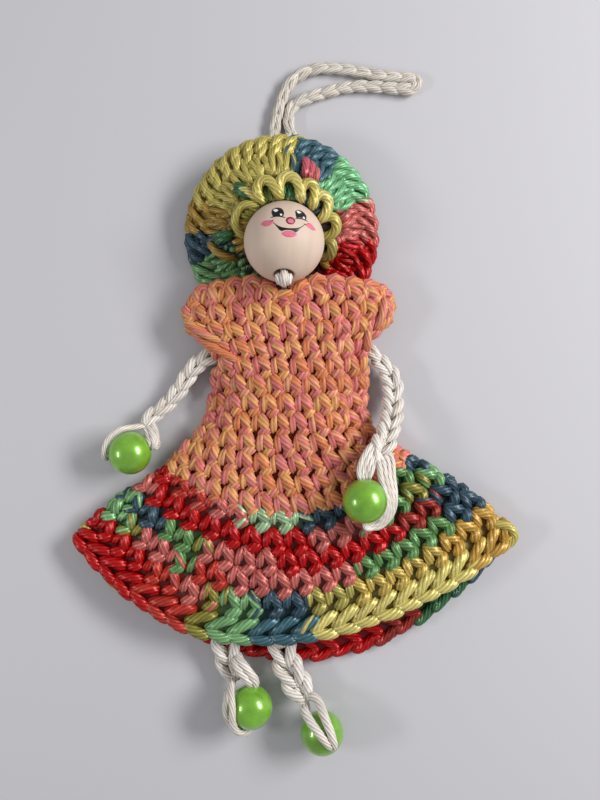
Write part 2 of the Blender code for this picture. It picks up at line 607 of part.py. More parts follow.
def build():
    clear_scene()
    parts = new_collection("Crocheted doll")
    cutters = new_collection("Cutters")
    wood = new_material("Beech wood", (0.78, 0.62, 0.48), 0.5)
    green = new_material("Green pearl bead", (0.33, 0.62, 0.05), 0.12)
    cotton = new_material("Off-white cotton", (0.80, 0.74, 0.66), 0.9)
    orange = new_material("Orange and pink yarn", (0.75, 0.36, 0.20), 0.9)
    striped = new_material("Striped yarn", (0.60, 0.16, 0.10), 0.9)
    olive = new_material("Yellow striped yarn", (0.55, 0.48, 0.16), 0.9)

    bead("head_bead", HEAD_D, HEAD_BORE_D, HEAD_CENTRE, CROWN_AXIS, HEAD_STEPS, parts, wood)
    knot_centre = HEAD_CENTRE - CROWN_AXIS * (HEAD_R + CHIN_KNOT_OUT)
    bpy.ops.mesh.primitive_uv_sphere_add(segments=CHIN_KNOT_STEPS, ring_count=CHIN_KNOT_STEPS // 2,
                                         radius=CHIN_KNOT_D / 2, location=knot_centre)
    knot = take_primitive("neck_knot", parts)
    knot.data.materials.append(cotton)
    knot.data.shade_smooth()

    knot_reach = CHIN_KNOT_D / 2 + GAP
    cord_start = knot_centre + CROWN_AXIS * knot_reach
    cord_end = HEAD_CENTRE + CROWN_AXIS * (CROWN_R + HAT_WALL + HEAD_CORD_OUT)
    head_cord = with_radius([cord_start, cord_end], HEAD_CORD_D / 2)
    tube("head_cord", head_cord, HEAD_CENTRE, parts, cotton, 4)

    torso_start = knot_centre + Vector(CHIN_ROUTE[0]).normalized() * knot_reach
    chin_points = [knot_centre + Vector(step) for step in CHIN_ROUTE]
    torso_r = TORSO_D / 2
    chin_r, throat_r = [torso_r * share for share in CHIN_RADIUS_SHARES]
    torso = [(*torso_start, chin_r), (*chin_points[0], throat_r)]
    torso += with_radius(chin_points[1:] + TORSO_ROUTE, torso_r)
    tube("torso_cord", smooth_route(torso, INNER_STEP_SHARE), torso_start, parts, cotton)

    left_shoulder = Vector((LEFT_SHOULDER_X, SHOULDER_Y, SHOULDER_Z))
    right_shoulder = Vector((RIGHT_SHOULDER_X, SHOULDER_Y, SHOULDER_Z))
    inside = Vector((ARM_D / 2 + SHOULDER_SLACK, 0, 0))
    shoulders = [left_shoulder + inside, *map(Vector, SHOULDER_ROUTE), right_shoulder - inside]
    shoulder_path = smooth_route(with_radius(shoulders, SHOULDER_D / 2), INNER_STEP_SHARE)
    tube("shoulder_cord", shoulder_path, shoulders[0], parts, cotton)

    loop_r = LOOP_D / 2
    loop_middle = cord_end + CROWN_AXIS * (loop_r + GAP)
    spread = Vector((loop_r + GAP / 2, 0, 0))
    loop_start = loop_middle - spread
    loop = [loop_start, *LOOP_OUT_ROUTE, LOOP_TIP, *LOOP_BACK_ROUTE, loop_middle + spread]
    loop_path = round_end(loop_start, LOOP_OUT_ROUTE[0], loop_r)[:-1]
    loop_path += smooth_route(with_radius(loop, loop_r), LOOP_STEP_SHARE)
    tube("hanging_loop", loop_path, loop_start, parts, cotton)

    shell("hat", hat_rings(), HAT_WALL, HEAD_CENTRE, parts, olive)
    bodice = ridged_shell("bodice", bodice_rings(), bodice_levels(), parts, orange)
    ridged_shell("skirt", skirt_rings(), skirt_levels(), parts, striped)
    armhole_low = SHOULDER_Z - ARM_D / 2 - CORD_GAP
    armhole_height = ARM_D + CORD_GAP * 2
    for side, shoulder in (("left", left_shoulder), ("right", right_shoulder)):
        out = -ARMHOLE_OUT if side == "left" else ARMHOLE_OUT
        bpy.ops.mesh.primitive_cylinder_add(
            vertices=ARMHOLE_STEPS, radius=ARMHOLE_R, depth=armhole_height,
            location=(shoulder.x + out, shoulder.y, armhole_low + armhole_height / 2))
        cut(bodice, take_primitive(side + " armhole cutter", cutters))

    hip_half = LEG_D / 2 + GAP
    left_hip = Vector((HIP_X - hip_half, HIP_Y, HIP_Z))
    right_hip = Vector((HIP_X + hip_half, HIP_Y, HIP_Z))
    hand_z = HAND_LIFT + BEAD_R
    limbs = (
        ("left_arm", "left_hand_bead", left_shoulder, LEFT_ARM_ROUTE, ARM_D,
         (*LEFT_HAND_XY, BEAD_R), LEFT_HAND_BORE, LEFT_HAND_SIDE, LEFT_HAND_TAIL_SHARES),
        ("right_arm", "right_hand_bead", right_shoulder, RIGHT_ARM_ROUTE, ARM_D,
         (*RIGHT_HAND_XY, hand_z), RIGHT_HAND_BORE, RIGHT_HAND_SIDE, RIGHT_HAND_TAIL_SHARES),
        ("left_leg", "left_foot_bead", left_hip, LEFT_LEG_ROUTE, LEG_D,
         (*LEFT_FOOT_XY, BEAD_R), LEFT_FOOT_BORE, LEFT_FOOT_SIDE, LEFT_FOOT_TAIL_SHARES),
        ("right_leg", "right_foot_bead", right_hip, RIGHT_LEG_ROUTE, LEG_D,
         (*RIGHT_FOOT_XY, BEAD_R), RIGHT_FOOT_BORE, RIGHT_FOOT_SIDE, None),
    )
    for name, bead_name, hang, route, diameter, centre, bore, side, tail in limbs:
        centre = Vector(centre)
        end = near_tail(centre, bore, side, *tail) if tail else []
        limb(name, hang, route, diameter, bead_loop(centre, bore, side), end, parts, cotton)
        bead(bead_name, BEAD_D, BEAD_BORE_D, centre, bore, BEAD_STEPS, parts, green)


build()
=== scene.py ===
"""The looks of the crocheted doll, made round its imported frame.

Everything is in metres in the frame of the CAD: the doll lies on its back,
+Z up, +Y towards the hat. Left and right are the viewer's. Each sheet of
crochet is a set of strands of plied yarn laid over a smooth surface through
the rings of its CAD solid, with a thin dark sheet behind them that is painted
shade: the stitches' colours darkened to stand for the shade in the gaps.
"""
import math

import bpy
import numpy as np
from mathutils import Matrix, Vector


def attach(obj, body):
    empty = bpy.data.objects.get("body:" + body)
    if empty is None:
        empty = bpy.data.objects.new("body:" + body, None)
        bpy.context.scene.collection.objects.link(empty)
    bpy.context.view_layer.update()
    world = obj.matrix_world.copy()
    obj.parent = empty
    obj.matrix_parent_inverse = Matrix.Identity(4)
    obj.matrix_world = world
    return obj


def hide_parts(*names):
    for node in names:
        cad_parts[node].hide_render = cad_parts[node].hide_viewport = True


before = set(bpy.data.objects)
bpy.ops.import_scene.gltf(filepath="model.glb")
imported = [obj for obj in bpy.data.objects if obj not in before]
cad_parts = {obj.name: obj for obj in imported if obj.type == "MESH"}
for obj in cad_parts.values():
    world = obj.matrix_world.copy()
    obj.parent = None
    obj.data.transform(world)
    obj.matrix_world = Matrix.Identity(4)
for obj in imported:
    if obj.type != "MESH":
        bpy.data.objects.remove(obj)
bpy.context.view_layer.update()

RNG = np.random.default_rng(7)

# Colours as they look in the studio light, sRGB 0 to 255
PALETTE = {
    "red": (168, 3, 5), "brick": (138, 40, 32), "red_salmon": (172, 48, 36), "salmon": (186, 98, 90),
    "rose": (192, 90, 100), "pink": (206, 114, 118), "peach": (222, 154, 120), "orange": (206, 120, 72),
    "rust": (180, 78, 40), "sand": (218, 162, 96), "gold": (184, 144, 66), "gold_yellow": (186, 160, 80),
    "yellow": (188, 174, 92), "straw": (206, 192, 112), "ochre": (158, 126, 56),
    "olive_yellow": (160, 150, 78), "olive": (128, 122, 50), "dark_olive": (88, 102, 44),
    "green": (92, 132, 78), "light_green": (116, 160, 108), "dark_green": (52, 96, 58),
    "mint": (150, 180, 138), "sea": (116, 176, 126), "teal": (60, 94, 104), "blue": (50, 72, 84),
    # The second cotton is the loop's, darkened as painted shade
    "cotton": (232, 226, 218), "shaded_cotton": (210, 204, 194), "cream": (222, 206, 190),
    "shade": (52, 48, 34), "wood": (204, 182, 164), "lime": (120, 178, 48), "ink": (18, 16, 16),
    "white": (236, 232, 226), "blush": (214, 108, 130), "wine": (120, 40, 58),
}

# Sizes shared with the CAD source
HEAD_D = 0.025
HEAD_BORE_D = 0.0062
HEAD_X = -0.0016
HEAD_Y = 0.049
HEAD_TILT = math.radians(25)
CHIN_KNOT_D = 0.0056
CHIN_KNOT_OUT = 0.0007
HAT_WALL = 0.0026
CROWN_CLEARANCE = 0.0007
CROWN_LIFT = 0.0012
CROWN_HOLE_R = 0.0035
BRIM_X = -0.0026
BRIM_Y = 0.053
BRIM_R = 0.0312
BRIM_TUCK = 0.0042
BRIM_RISE = 0.0061
BRIM_EDGE_Z = 0.0049
BRIM_FLAT_Y = 0.041
BRIM_RISE_LENGTH = 0.0085
BRIM_FOLD_R = 0.0168
BRIM_FOLD_Y = 0.052
BRIM_FOLD_Z = 0.0122
BRIM_FOLD_RISE = 0.0062
CROWN_RINGS = [(25, None), (30.3, 23.7), (42, 39), (48, 62)]
BRIM_SHARES = [0.0, 0.14, 0.36, 0.68, 1.0]
DRESS_WALL = 0.0022
NECK_Y = 0.0375
NECK_DIP = 0.0062
NECK_DIP_WIDTH = 0.0062
BODICE_LENGTH = 0.075
CHEST_HALF_WIDTH = 0.0255
BODICE_HEIGHT = 0.012
SEAM_GAP = 0.0004
SKIRT_LENGTH = 0.0389
HEM_HALF_WIDTH = 0.0715
SKIRT_HEIGHT = 0.0108
HEM_WAVE = 0.0008
HEM_WAVES = 3
FLATNESS = 4
FOLD_SHARE = 0.9
ROW_CURVE = 2.1
BODICE_ROW_SHARES = [
    (0.000, -1.215, 0.043, 1.235, 0.030, 0.25, 0.50, 1.08),
    (0.103, -1.350, 0.109, 1.310, 0.073, 0.25, 0.50, 1.06),
    (0.190, -1.310, 0.187, 1.280, 0.156, 0.25, 0.50, 1.05),
    (0.273, -1.120, 0.257, 1.090, 0.249, 0.00, 0.80, 1.03),
    (0.353, -1.010, 0.340, 1.015, 0.335, 0.00, 0.80, 1.02),
    (0.439, -0.995, 0.431, 0.990, 0.431, 0.00, 0.58, 1.00),
    (0.527, -1.030, 0.513, 0.980, 0.513, 0.00, 0.58, 0.98),
    (0.620, -1.110, 0.588, 1.010, 0.584, 0.00, 0.58, 0.96),
    (0.713, -1.230, 0.655, 1.110, 0.641, 0.00, 0.58, 0.95),
    (0.807, -1.400, 0.716, 1.310, 0.695, 0.00, 0.57, 0.94),
    (0.900, -1.510, 0.753, 1.450, 0.721, 0.00, 0.56, 0.93),
    (0.996, -1.610, 0.788, 1.560, 0.744, 0.00, 0.55, 0.92),
]
SKIRT_ROW_SHARES = [
    (0.000, 0.000, -0.579, -0.406, 0.562, -0.491, 0.000, 0.000, 0.61, 1.02),
    (0.157, 0.183, -0.655, -0.316, 0.652, -0.404, -0.028, 0.007, 0.61, 1.02),
    (0.324, 0.375, -0.733, -0.219, 0.738, -0.311, -0.056, 0.014, 0.60, 1.01),
    (0.491, 0.568, -0.806, -0.126, 0.822, -0.206, -0.084, 0.021, 0.60, 1.00),
    (0.658, 0.774, -0.871, -0.033, 0.898, -0.095, -0.112, 0.028, 0.60, 0.99),
    (0.826, 0.979, -0.931, 0.062, 0.968, 0.023, -0.140, 0.035, 0.59, 0.98),
    (0.995, 1.185, -0.982, 0.162, 1.024, 0.141, -0.168, 0.042, 0.59, 0.98),
]

# Routes and beads of the limbs and the loop, as in the CAD source
GAP = 0.0003
ARM_D = 0.005
LEG_D = 0.0052
LOOP_D = 0.003
HEAD_CORD_D = 0.0046
HEAD_CORD_OUT = 0.0104
TORSO_D = 0.0034
SHOULDER_D = 0.0028
SHOULDER_SLACK = 0.0014
BEAD_D = 0.014
BEAD_BORE_D = 0.0026
BEAD_R = BEAD_D / 2
HAND_LIFT = 0.0113
SHOULDER_Y = 0.0143
SHOULDER_Z = 0.0053
LEFT_SHOULDER_X = -0.0252
RIGHT_SHOULDER_X = 0.0266
HIP_X = -0.0105
HIP_Y = -0.050
HIP_Z = DRESS_WALL + GAP + LEG_D / 2
LEFT_ARM_ROUTE = [
    (-0.0286, 0.0126, 0.0050), (-0.0322, 0.0092, 0.0040), (-0.0364, 0.0030, 0.0030),
    (-0.0409, -0.0020, 0.0028), (-0.0453, -0.0055, 0.0030), (-0.0469, -0.0079, 0.0036),
]
RIGHT_ARM_ROUTE = [
    (0.0304, 0.0112, 0.0055), (0.0330, 0.0066, 0.0052), (0.0334, 0.0019, 0.0058),
    (0.0328, -0.0040, 0.0084), (0.0311, -0.0101, 0.0122), (0.0285, -0.0163, 0.0155),
]
LEFT_LEG_ROUTE = [
    (-0.0160, -0.0600, 0.0053), (-0.0198, -0.0700, 0.0053), (-0.0209, -0.0768, 0.0053),
    (-0.0205, -0.0812, 0.0050), (-0.0197, -0.0855, 0.0036), (-0.0183, -0.0906, 0.0034),
]
RIGHT_LEG_ROUTE = [
    (-0.0062, -0.0610, 0.0053), (-0.0046, -0.0700, 0.0053), (-0.0032, -0.0778, 0.0053),
    (-0.0012, -0.0850, 0.0053), (0.0007, -0.0887, 0.0053), (0.0028, -0.0928, 0.0051),
    (0.0054, -0.0966, 0.0060),
]
SHOULDER_ROUTE = [(-0.0120, 0.0145, 0.0078), (-0.0030, 0.0146, 0.0084), (0.0110, 0.0145, 0.0078)]
TORSO_ROUTE = [
    (-0.0020, 0.0250, 0.0079), (-0.0027, 0.0150, 0.0049), (-0.0045, 0.0000, 0.0044),
    (-0.0075, -0.0200, 0.0048), (-0.0105, -0.0455, 0.0052),
]
LOOP_OUT_ROUTE = [
    (-0.0043, 0.0772, 0.0038), (-0.0050, 0.0820, 0.0019), (-0.0053, 0.0870, 0.0016),
    (-0.0044, 0.0925, 0.0016), (-0.0031, 0.0975, 0.0016), (-0.0013, 0.1020, 0.0016),
    (0.0017, 0.1060, 0.0016), (0.0060, 0.1083, 0.0016), (0.0115, 0.1093, 0.0016),
    (0.0198, 0.1086, 0.0016), (0.0280, 0.1071, 0.0016), (0.0362, 0.1062, 0.0016),
    (0.0400, 0.1061, 0.0016),
]
LOOP_TIP = (0.0420, 0.1042, 0.0016)
LOOP_BACK_ROUTE = [
    (0.0400, 0.1023, 0.0016), (0.0362, 0.1025, 0.0016), (0.0272, 0.1033, 0.0016),
    (0.0185, 0.1030, 0.0016), (0.0100, 0.1008, 0.0016), (0.0035, 0.0984, 0.0016),
    (0.0004, 0.0957, 0.0016), (-0.0005, 0.0915, 0.0016), (0.0005, 0.0870, 0.0016),
    (0.0012, 0.0820, 0.0019), (0.0009, 0.0772, 0.0038),
]
LEFT_HAND = (-0.0516, -0.0171, BEAD_R)
LEFT_HAND_BORE = (0.966, 0.259, 0.0)
RIGHT_HAND = (0.0234, -0.0312, HAND_LIFT + BEAD_R)
RIGHT_HAND_BORE = (0.0, 1.0, 0.0)
LEFT_FOOT = (-0.0125, -0.0991, BEAD_R)
LEFT_FOOT_BORE = (0.10, 0.995, 0.0)
RIGHT_FOOT = (0.0104, -0.1075, BEAD_R)
RIGHT_FOOT_BORE = (-0.45, 0.30, -0.84)
BORE_SHARES = (-0.97, -0.5, 0.0, 0.5, 0.97)

HEAD_R = HEAD_D / 2
CROWN_R = HEAD_R + CROWN_CLEARANCE
HEAD_Z = CROWN_R + HAT_WALL + CROWN_LIFT
HEAD_CENTRE = np.array((HEAD_X, HEAD_Y, HEAD_Z))
CROWN_AXIS = np.array((0, math.cos(HEAD_TILT), -math.sin(HEAD_TILT)))
KNOT_CENTRE = HEAD_CENTRE - CROWN_AXIS * (HEAD_R + CHIN_KNOT_OUT)

# Yarn: plies, their furrows, how far a turn of them reaches, and points along a stitch
PLIES = 7
SIDES = PLIES * 3
PLY_GROOVE = 0.80
PLY_TURN = 0.0170
PLY_DRIFT = 0.8
YARN_R = 0.00156
RINGS = 11
# How far a stitch's points stray, and how uneven stitches, links and dyes are, as shares
STRAY = 0.035
UNEVEN_STITCH = 0.04
UNEVEN_LINK = 0.05
UNEVEN_MARL = 0.07
UNEVEN_STRIPE = 0.10
STRIPE_BLUR = 0.004
# How thin long strands end, and how suddenly
LONG_TAPER = (0.6, 60)
PLACED_TAPER = (0.5, 6)

# Points of half a ring, steps between two rings, and points of a ring's lines and folds
HALF_STEPS = 180
ROW_STEPS = 4
LINE_STEPS = 60
FOLD_STEPS = 8
# Steps between two points of a stitch's shape and of a longer curve
SHAPE_STEPS = 6
CURVE_STEPS = 10

# How deep the stitches' middle lies below the CAD surface in front and at the back
FRONT_DEPTH = 0.0010
BACK_DEPTH = 0.0023
# How soon a surface that turns down counts as the back
DOWN_SLOPE = 1.4

# Stitch shapes: along the row in pitches, down it in rows, and out in yarn radii
LEFT_LEG = [(0.42, 0.02, -0.9), (0.35, 0.14, -0.1), (0.27, 0.36, 0.12), (0.21, 0.60, -0.1),
            (0.17, 0.82, -1.1)]
RIGHT_LEG = [(0.43, 0.00, -0.9), (0.54, 0.14, 0.1), (0.70, 0.36, 0.28), (0.84, 0.58, 0.0),
             (0.93, 0.80, -1.1)]
BODICE_TURN = [(0.60, 1.06, -1.0), (0.74, 0.92, 0.0), (0.92, 0.76, 0.1), (1.08, 0.62, -0.9)]
SKIRT_TURN = [(0.50, 1.16, -0.9), (0.66, 1.04, 0.15), (0.84, 0.88, 0.2), (1.00, 0.72, -0.9)]
NECK_ARCH = [(0.10, 0.40, -1.0), (0.08, 0.02, 0.1), (0.26, -0.30, 0.4), (0.58, -0.32, 0.5),
             (0.84, -0.06, 0.3), (0.90, 0.35, -1.0)]
HEM_UPPER = [(-0.10, 0.82, -0.8), (0.15, 0.66, 0.1), (0.60, 0.42, 0.4), (1.00, 0.30, 0.1),
             (1.25, 0.28, -1.0)]
HEM_LOWER = [(-0.10, 0.85, -0.8), (0.15, 0.95, 0.1), (0.60, 1.10, 0.3), (0.95, 1.14, 0.0),
             (1.20, 1.12, -1.0)]

# Rows of the dress: shapes with their thickness, counts, and how far each row is shifted
BODICE_SHAPES = ((LEFT_LEG, 1.0), (RIGHT_LEG, 1.05), (BODICE_TURN, 0.95))
NECK_SHAPES = ((NECK_ARCH, 1.1),)
SKIRT_SHAPES = ((LEFT_LEG, 1.0), (RIGHT_LEG, 1.08), (SKIRT_TURN, 1.12))
HEM_SHAPES = ((HEM_UPPER, 1.1), (HEM_LOWER, 1.1))
BODICE_ROWS = 12
BODICE_PITCH = 0.0058
BODICE_SHIFT = 0.73
NECK_SHIFT = 0.2
BODICE_YARN_R = YARN_R * 1.14
# How dark the furrows between the bodice yarn's plies are painted: painted shade
BODICE_GROOVE_SHADE = 0.66
BODICE_DYES = ("orange", "sand", "pink", "sand", "rose", "peach", "orange", "pink")
BODICE_DRIFT = 0.8
SKIRT_YARN_R = YARN_R * 1.04
SKIRT_PITCH = 0.0068
SKIRT_SHIFT = 0.64
# Ring numbers: the skirt's first row, a row's height, where a row is counted, and the hem's row
SKIRT_START = -0.4
SKIRT_ROW_HEIGHT = 1.04
SKIRT_COUNT_AT = 0.5
HEM_ROW_START = 4.8
HEM_ROW_HEIGHT = 1.15
HEM_COUNT_AT = 5.3
HEM_SHIFT = 0.1
WING_STRAND_R = 0.00125
# Long strands along the wings' lower edges: ring number, f, and out in yarn radii
WING_STRANDS = (
    [(1.6, 0.012, -0.4), (2.0, 0.035, 0.7), (2.5, 0.060, 0.8), (2.9, 0.085, -0.5)],
    [(2.3, 0.012, -0.4), (2.9, 0.040, 0.7), (3.4, 0.075, 0.8), (3.95, 0.115, -0.5)],
    [(2.0, 0.430, -0.4), (2.6, 0.445, 0.7), (3.1, 0.455, 0.7), (3.5, 0.465, -0.5)],
    [(0.8, 0.470, -0.4), (1.3, 0.462, 0.7), (1.9, 0.458, 0.8), (2.4, 0.455, -0.5)],
)
# Loose loops of thread at the hem: points, radius and colour
STRAY_LOOPS = (
    ([(-0.0545, -0.0560, 0.0040), (-0.0588, -0.0575, 0.0024), (-0.0602, -0.0600, 0.0012),
      (-0.0580, -0.0622, 0.0010), (-0.0540, -0.0628, 0.0020), (-0.0520, -0.0612, 0.0036)],
     0.0004, "yellow"),
    ([(0.0660, -0.0400, 0.0062), (0.0706, -0.0408, 0.0070), (0.0728, -0.0438, 0.0066),
      (0.0712, -0.0468, 0.0056), (0.0668, -0.0480, 0.0050)], 0.0013, "yellow"),
)
# The hole in the stitches round each arm: radius, way out from the shoulder, and its heights
ARMHOLE_R = 0.0052
ARMHOLE_OUT = 0.0017
ARMHOLE_HEIGHTS = (0.0024, 0.0082)
# The dark sheets behind the stitches, coloured as painted shade: depth, thickness, how far the hem's back is
# raised, and first and last ring
SHADE_SHEET_DEPTH = 0.0021
SHADE_SHEET_THICKNESS = 0.0003
HAT_SHADE_SHEET_DEPTH = 0.0011
HEM_START = 3.7
HEM_SHADE_SHEET_FADE = 0.6
HEM_SHADE_SHEET_DROP = 0.0023
HAT_SHADE_SHEET_SPAN = (0.15, 7.7)
BODICE_SHADE_SHEET_SPAN = (0.1, 10.95)
SKIRT_SHADE_SHEET_SPAN = (0.0, 5.9)
# Painted shade: how dark the sheets are, as a share of the stitches' colour
SHEET_PAINTED_SHADE = 0.35
SHADE_SHEET_ROWS = 60
SHADE_SHEET_STEPS = 240
# A ball's steps round it, shares of its arc, rows in its bore, and its bore's rounded lip
BALL_STEPS = 72
BALL_ARC = (0.02, 0.98)
BORE_ROWS = 9
LIP_SHARE = 0.025
LIP = ((0.35, 0.25), (0.0, 1.2))
PRINT_STEPS = 16
PRINT_ROWS = 6
PRINT_DEPTH = 0.0001
# In millimetres, how much wider a patch of paint is than its outline, and widths of lines
PRINT_EDGE = 0.02
LASH_WIDTH = 0.28
SMILE_WIDTH = 0.24
TICK_WIDTH = 0.2
# How far paints stand off the head, so that each lies over the one below it
PAINT_UNDER = 0.00003
PAINT_OUT = 0.00004
PAINT_OVER = 0.00007
ROUTE_STEPS = 240
STRAND_STEP = 0.0006
# White cords: how the colour wanders, and the loop's and the inner cords' sizes
WHITE_DRIFT = 0.6
WHITE_SOFTNESS = 0.5
INNER_STRANDS = 3
INNER_STRAND_SHARE = 0.27
INNER_TWIST = 4
INNER_FRONT = (0, 0.3, 1)
LOOP_PITCH = 0.0050
LOOP_WIDTH = 0.0040
LOOP_THICK = 0.0032
LOOP_YARN_R = 0.00108
# How much of the CAD's dip at the neck the stitches' own surface has
NECK_DIP_SHARE = 0.8
# Where the arms' cords start inside the dress, and strands from a cord's end into its bead
LEFT_ARM_START = (-0.0238, 0.0152, 0.0052)
RIGHT_ARM_START = (0.0254, 0.0170, 0.0048)
LEFT_ARM_STRANDS = (
    ([(-0.0452, -0.0068, 0.0046, 0.7), (-0.0440, -0.0098, 0.0050), (-0.0433, -0.0128, 0.0060),
      (-0.0437, -0.0147, 0.0070, 0.9), (-0.0449, -0.0153, 0.0070, 0.8)], 0.00115, 1, 0.0),
    ([(-0.0470, -0.0085, 0.0040, 0.7), (-0.0458, -0.0105, 0.0056), (-0.0448, -0.0128, 0.0076),
      (-0.0444, -0.0143, 0.0080, 0.8), (-0.0451, -0.0154, 0.0070, 0.7)], 0.00105, 2, 0.0007),
    ([(-0.0446, -0.0150, 0.0062, 0.8), (-0.0434, -0.0143, 0.0058, 0.8), (-0.0420, -0.0145, 0.0050, 0.3)],
     0.0007, 3, 0.0008),
)
RIGHT_ARM_STRANDS = (
    ([(0.0284, -0.0136, 0.0142, 0.8), (0.0262, -0.0164, 0.0166), (0.0243, -0.0196, 0.0179),
      (0.0233, -0.0226, 0.0183, 0.9), (0.0234, -0.0246, 0.0183, 0.8, 0.8)], 0.00095, 4, 0.00066),
    ([(0.0290, -0.0140, 0.0126, 0.8), (0.0264, -0.0176, 0.0146), (0.0242, -0.0208, 0.0162),
      (0.0236, -0.0238, 0.0176, 0.7)], 0.00105, 2, 0.0008),
)
LEFT_LEG_STRANDS = (
    ([(-0.0178, -0.0830, 0.0066, 0.7), (-0.0158, -0.0853, 0.0086), (-0.0136, -0.0879, 0.0092),
      (-0.0120, -0.0903, 0.0087), (-0.0118, -0.0925, 0.0073, 0.7)], 0.00135, 2, 0.0010),
)
# Strands past a bead to its far mouth: millimetres from its middle, thickness and spread
LEFT_HAND_WAY = ((4.4, 8.8, -3.3), (1.2, 8.3, -1.2), (-2.5, 7.7, 1.4), (-5.6, 5.6, 2.3),
                 (-7.3, 2.6, 2.5), (-7.8, -0.4, 2.0), (-7.6, -1.8, 0.8, 0.8))
RIGHT_HAND_WAY = ((6.5, 12.0, -2.4, 1.0, 1.7), (7.0, 7.1, -1.6, 1.0, 1.5), (7.9, 1.8, -0.9, 1.0, 1.2),
                  (7.5, -2.8, -1.0, 1.0, 1.1), (5.0, -6.3, -1.6), (2.5, -7.4, -2.0, 0.9, 0.8),
                  (0.6, -7.9, -1.2, 0.8, 0.5))
LEFT_FOOT_WAY = ((-6.9, 5.6, 1.2, 1.0, 1.6), (-6.8, 1.5, 3.6, 1.0, 2.5), (-6.6, -2.2, 3.6, 1.0, 2.2),
                 (-5.4, -5.4, 2.6, 1.0, 1.6), (-3.4, -7.4, 1.2, 1.0, 0.9), (-1.2, -8.0, 0.3, 0.8, 0.5))
RIGHT_FOOT_WAY = ((-3.7, 9.9, 2.0, 1.0, 2.0), (-1.6, 6.8, 5.4, 1.0, 1.8), (0.6, 3.6, 7.6, 0.95, 1.4),
                  (2.0, 1.2, 8.1, 0.85, 1.1), (3.0, -0.9, 7.6, 0.75, 0.8), (3.1, -2.0, 6.4, 0.6, 0.6))
# How thick a limb's strands are in the bead's bore, and how far apart, as shares
BORE_THICKNESS = 0.55
BORE_SPREAD = 0.5
HIP_HALF = LEG_D / 2 + GAP
# Each limb: name, cord points, bead (middle, bore, strands' way past it, front that they lie against),
# cord (pitch, widths, thickness, yarn radius), strands past the bead (count, radius, half space)
# and further strands
LIMBS = (
    ("left_arm", [LEFT_ARM_START, *LEFT_ARM_ROUTE],
     (LEFT_HAND, LEFT_HAND_BORE, LEFT_HAND_WAY, (0, 0, 1)),
     (0.0058, (0.0062, 0.0056), ARM_D, 0.00135), (1, 0.00098, 0.0), LEFT_ARM_STRANDS),
    ("right_arm", [RIGHT_ARM_START, *RIGHT_ARM_ROUTE],
     (RIGHT_HAND, RIGHT_HAND_BORE, RIGHT_HAND_WAY, (0.7, 0, 0.7)),
     (0.0048, (0.0044, 0.0068, 0.0074, 0.0082), ARM_D, 0.00126), (4, 0.00092, 0.00066), RIGHT_ARM_STRANDS),
    ("left_leg", [(HIP_X - HIP_HALF, HIP_Y, HIP_Z), *LEFT_LEG_ROUTE],
     (LEFT_FOOT, LEFT_FOOT_BORE, LEFT_FOOT_WAY, (-0.87, 0, 0.47)),
     (0.0068, (0.0098, 0.0094), LEG_D, 0.00160), (2, 0.00112, 0.00110), LEFT_LEG_STRANDS),
    ("right_leg", [(HIP_X + HIP_HALF, HIP_Y, HIP_Z), *RIGHT_LEG_ROUTE],
     (RIGHT_FOOT, RIGHT_FOOT_BORE, RIGHT_FOOT_WAY, (0, 0, 1)),
     (0.0072, (0.0100, 0.0100), LEG_D, 0.00165), (2, 0.00145, 0.00130), ()),
)
# The cord's way from the chin into the dress, with its thickness as a share
CHIN_WAY = [(-0.0016, 0.0364, 0.0198, 0.5), (-0.0016, 0.0360, 0.0178, 0.5), (-0.0016, 0.0361, 0.0155, 0.5),
            (-0.0016, 0.0366, 0.0132, 0.5), (-0.0016, 0.0360, 0.0108, 0.5), (-0.0017, 0.0328, 0.0084, 0.7)]
KNOT_YARN_R = 0.00120
KNOT_STEPS = 33
# How far each turn of the knot lies to the right, and how it leans
KNOT_TURNS = ((-0.00140, -0.25), (0.0, 0.05), (0.00140, 0.3))
# Points of a crocheted cord's link: along in pitches, over in half widths, out in half thicknesses
LINK = [(-0.25, 0.55, -1.0), (0.0, 1.0, -0.2), (0.35, 1.0, 0.8), (0.80, 0.60, 1.0),
        (1.12, 0.25, 0.3), (1.35, 0.0, -1.0)]
LINK_BACK = [(-0.1, 0.9, -0.3), (0.3, 1.0, -0.9), (0.7, 0.55, -1.0), (1.1, 0.2, -0.4)]
LINK_SHAPES = ((LINK, 1.0), (LINK_BACK, 0.9))
# A scale for places on the hat, one value a ring: from 16.8 outwards it is near the distance from the
# hat's middle in millimetres, and further in the places are nearer to the middle than it says
HAT_RADII = (4, 9, 12.5, 14.8, 16.8, 18.8, 22.0, 26.6, 31.2, 35.8)
# Holes that show through the brim: x, y and radius
HAT_GAPS = ((-0.0187, 0.0469, 0.0021), (-0.0171, 0.0589, 0.0014))
# Shapes of the hat's stitches: along the row in pitches, place on the hat's scale, out in yarn radii
HAT_EDGE = [(-0.12, 28.6, -1.0), (0.1, 30.0, -0.2), (0.5, 30.8, 0.0), (0.9, 30.0, -0.2), (1.12, 28.6, -1.0)]
HAT_SLANT_OUTER = [(-0.05, 30.9, -1.0), (0.08, 30.0, 0.3), (0.42, 28.8, 0.8), (0.75, 27.4, 0.4),
                   (0.90, 26.5, -0.9)]
HAT_SLANT_INNER = [(-0.02, 29.4, -0.9), (0.15, 28.2, 0.2), (0.45, 26.6, 0.5), (0.75, 25.2, 0.2),
                   (0.92, 24.0, -0.9)]
HAT_POST_LEFT = [(0.12, 26.4, -0.9), (0.08, 24.8, 0.2), (-0.02, 21.8, 0.2), (-0.12, 18.8, -0.8)]
HAT_POST_RIGHT = [(0.45, 26.4, -0.9), (0.5, 24.6, 0.3), (0.62, 21.4, 0.3), (0.74, 18.6, -0.8)]
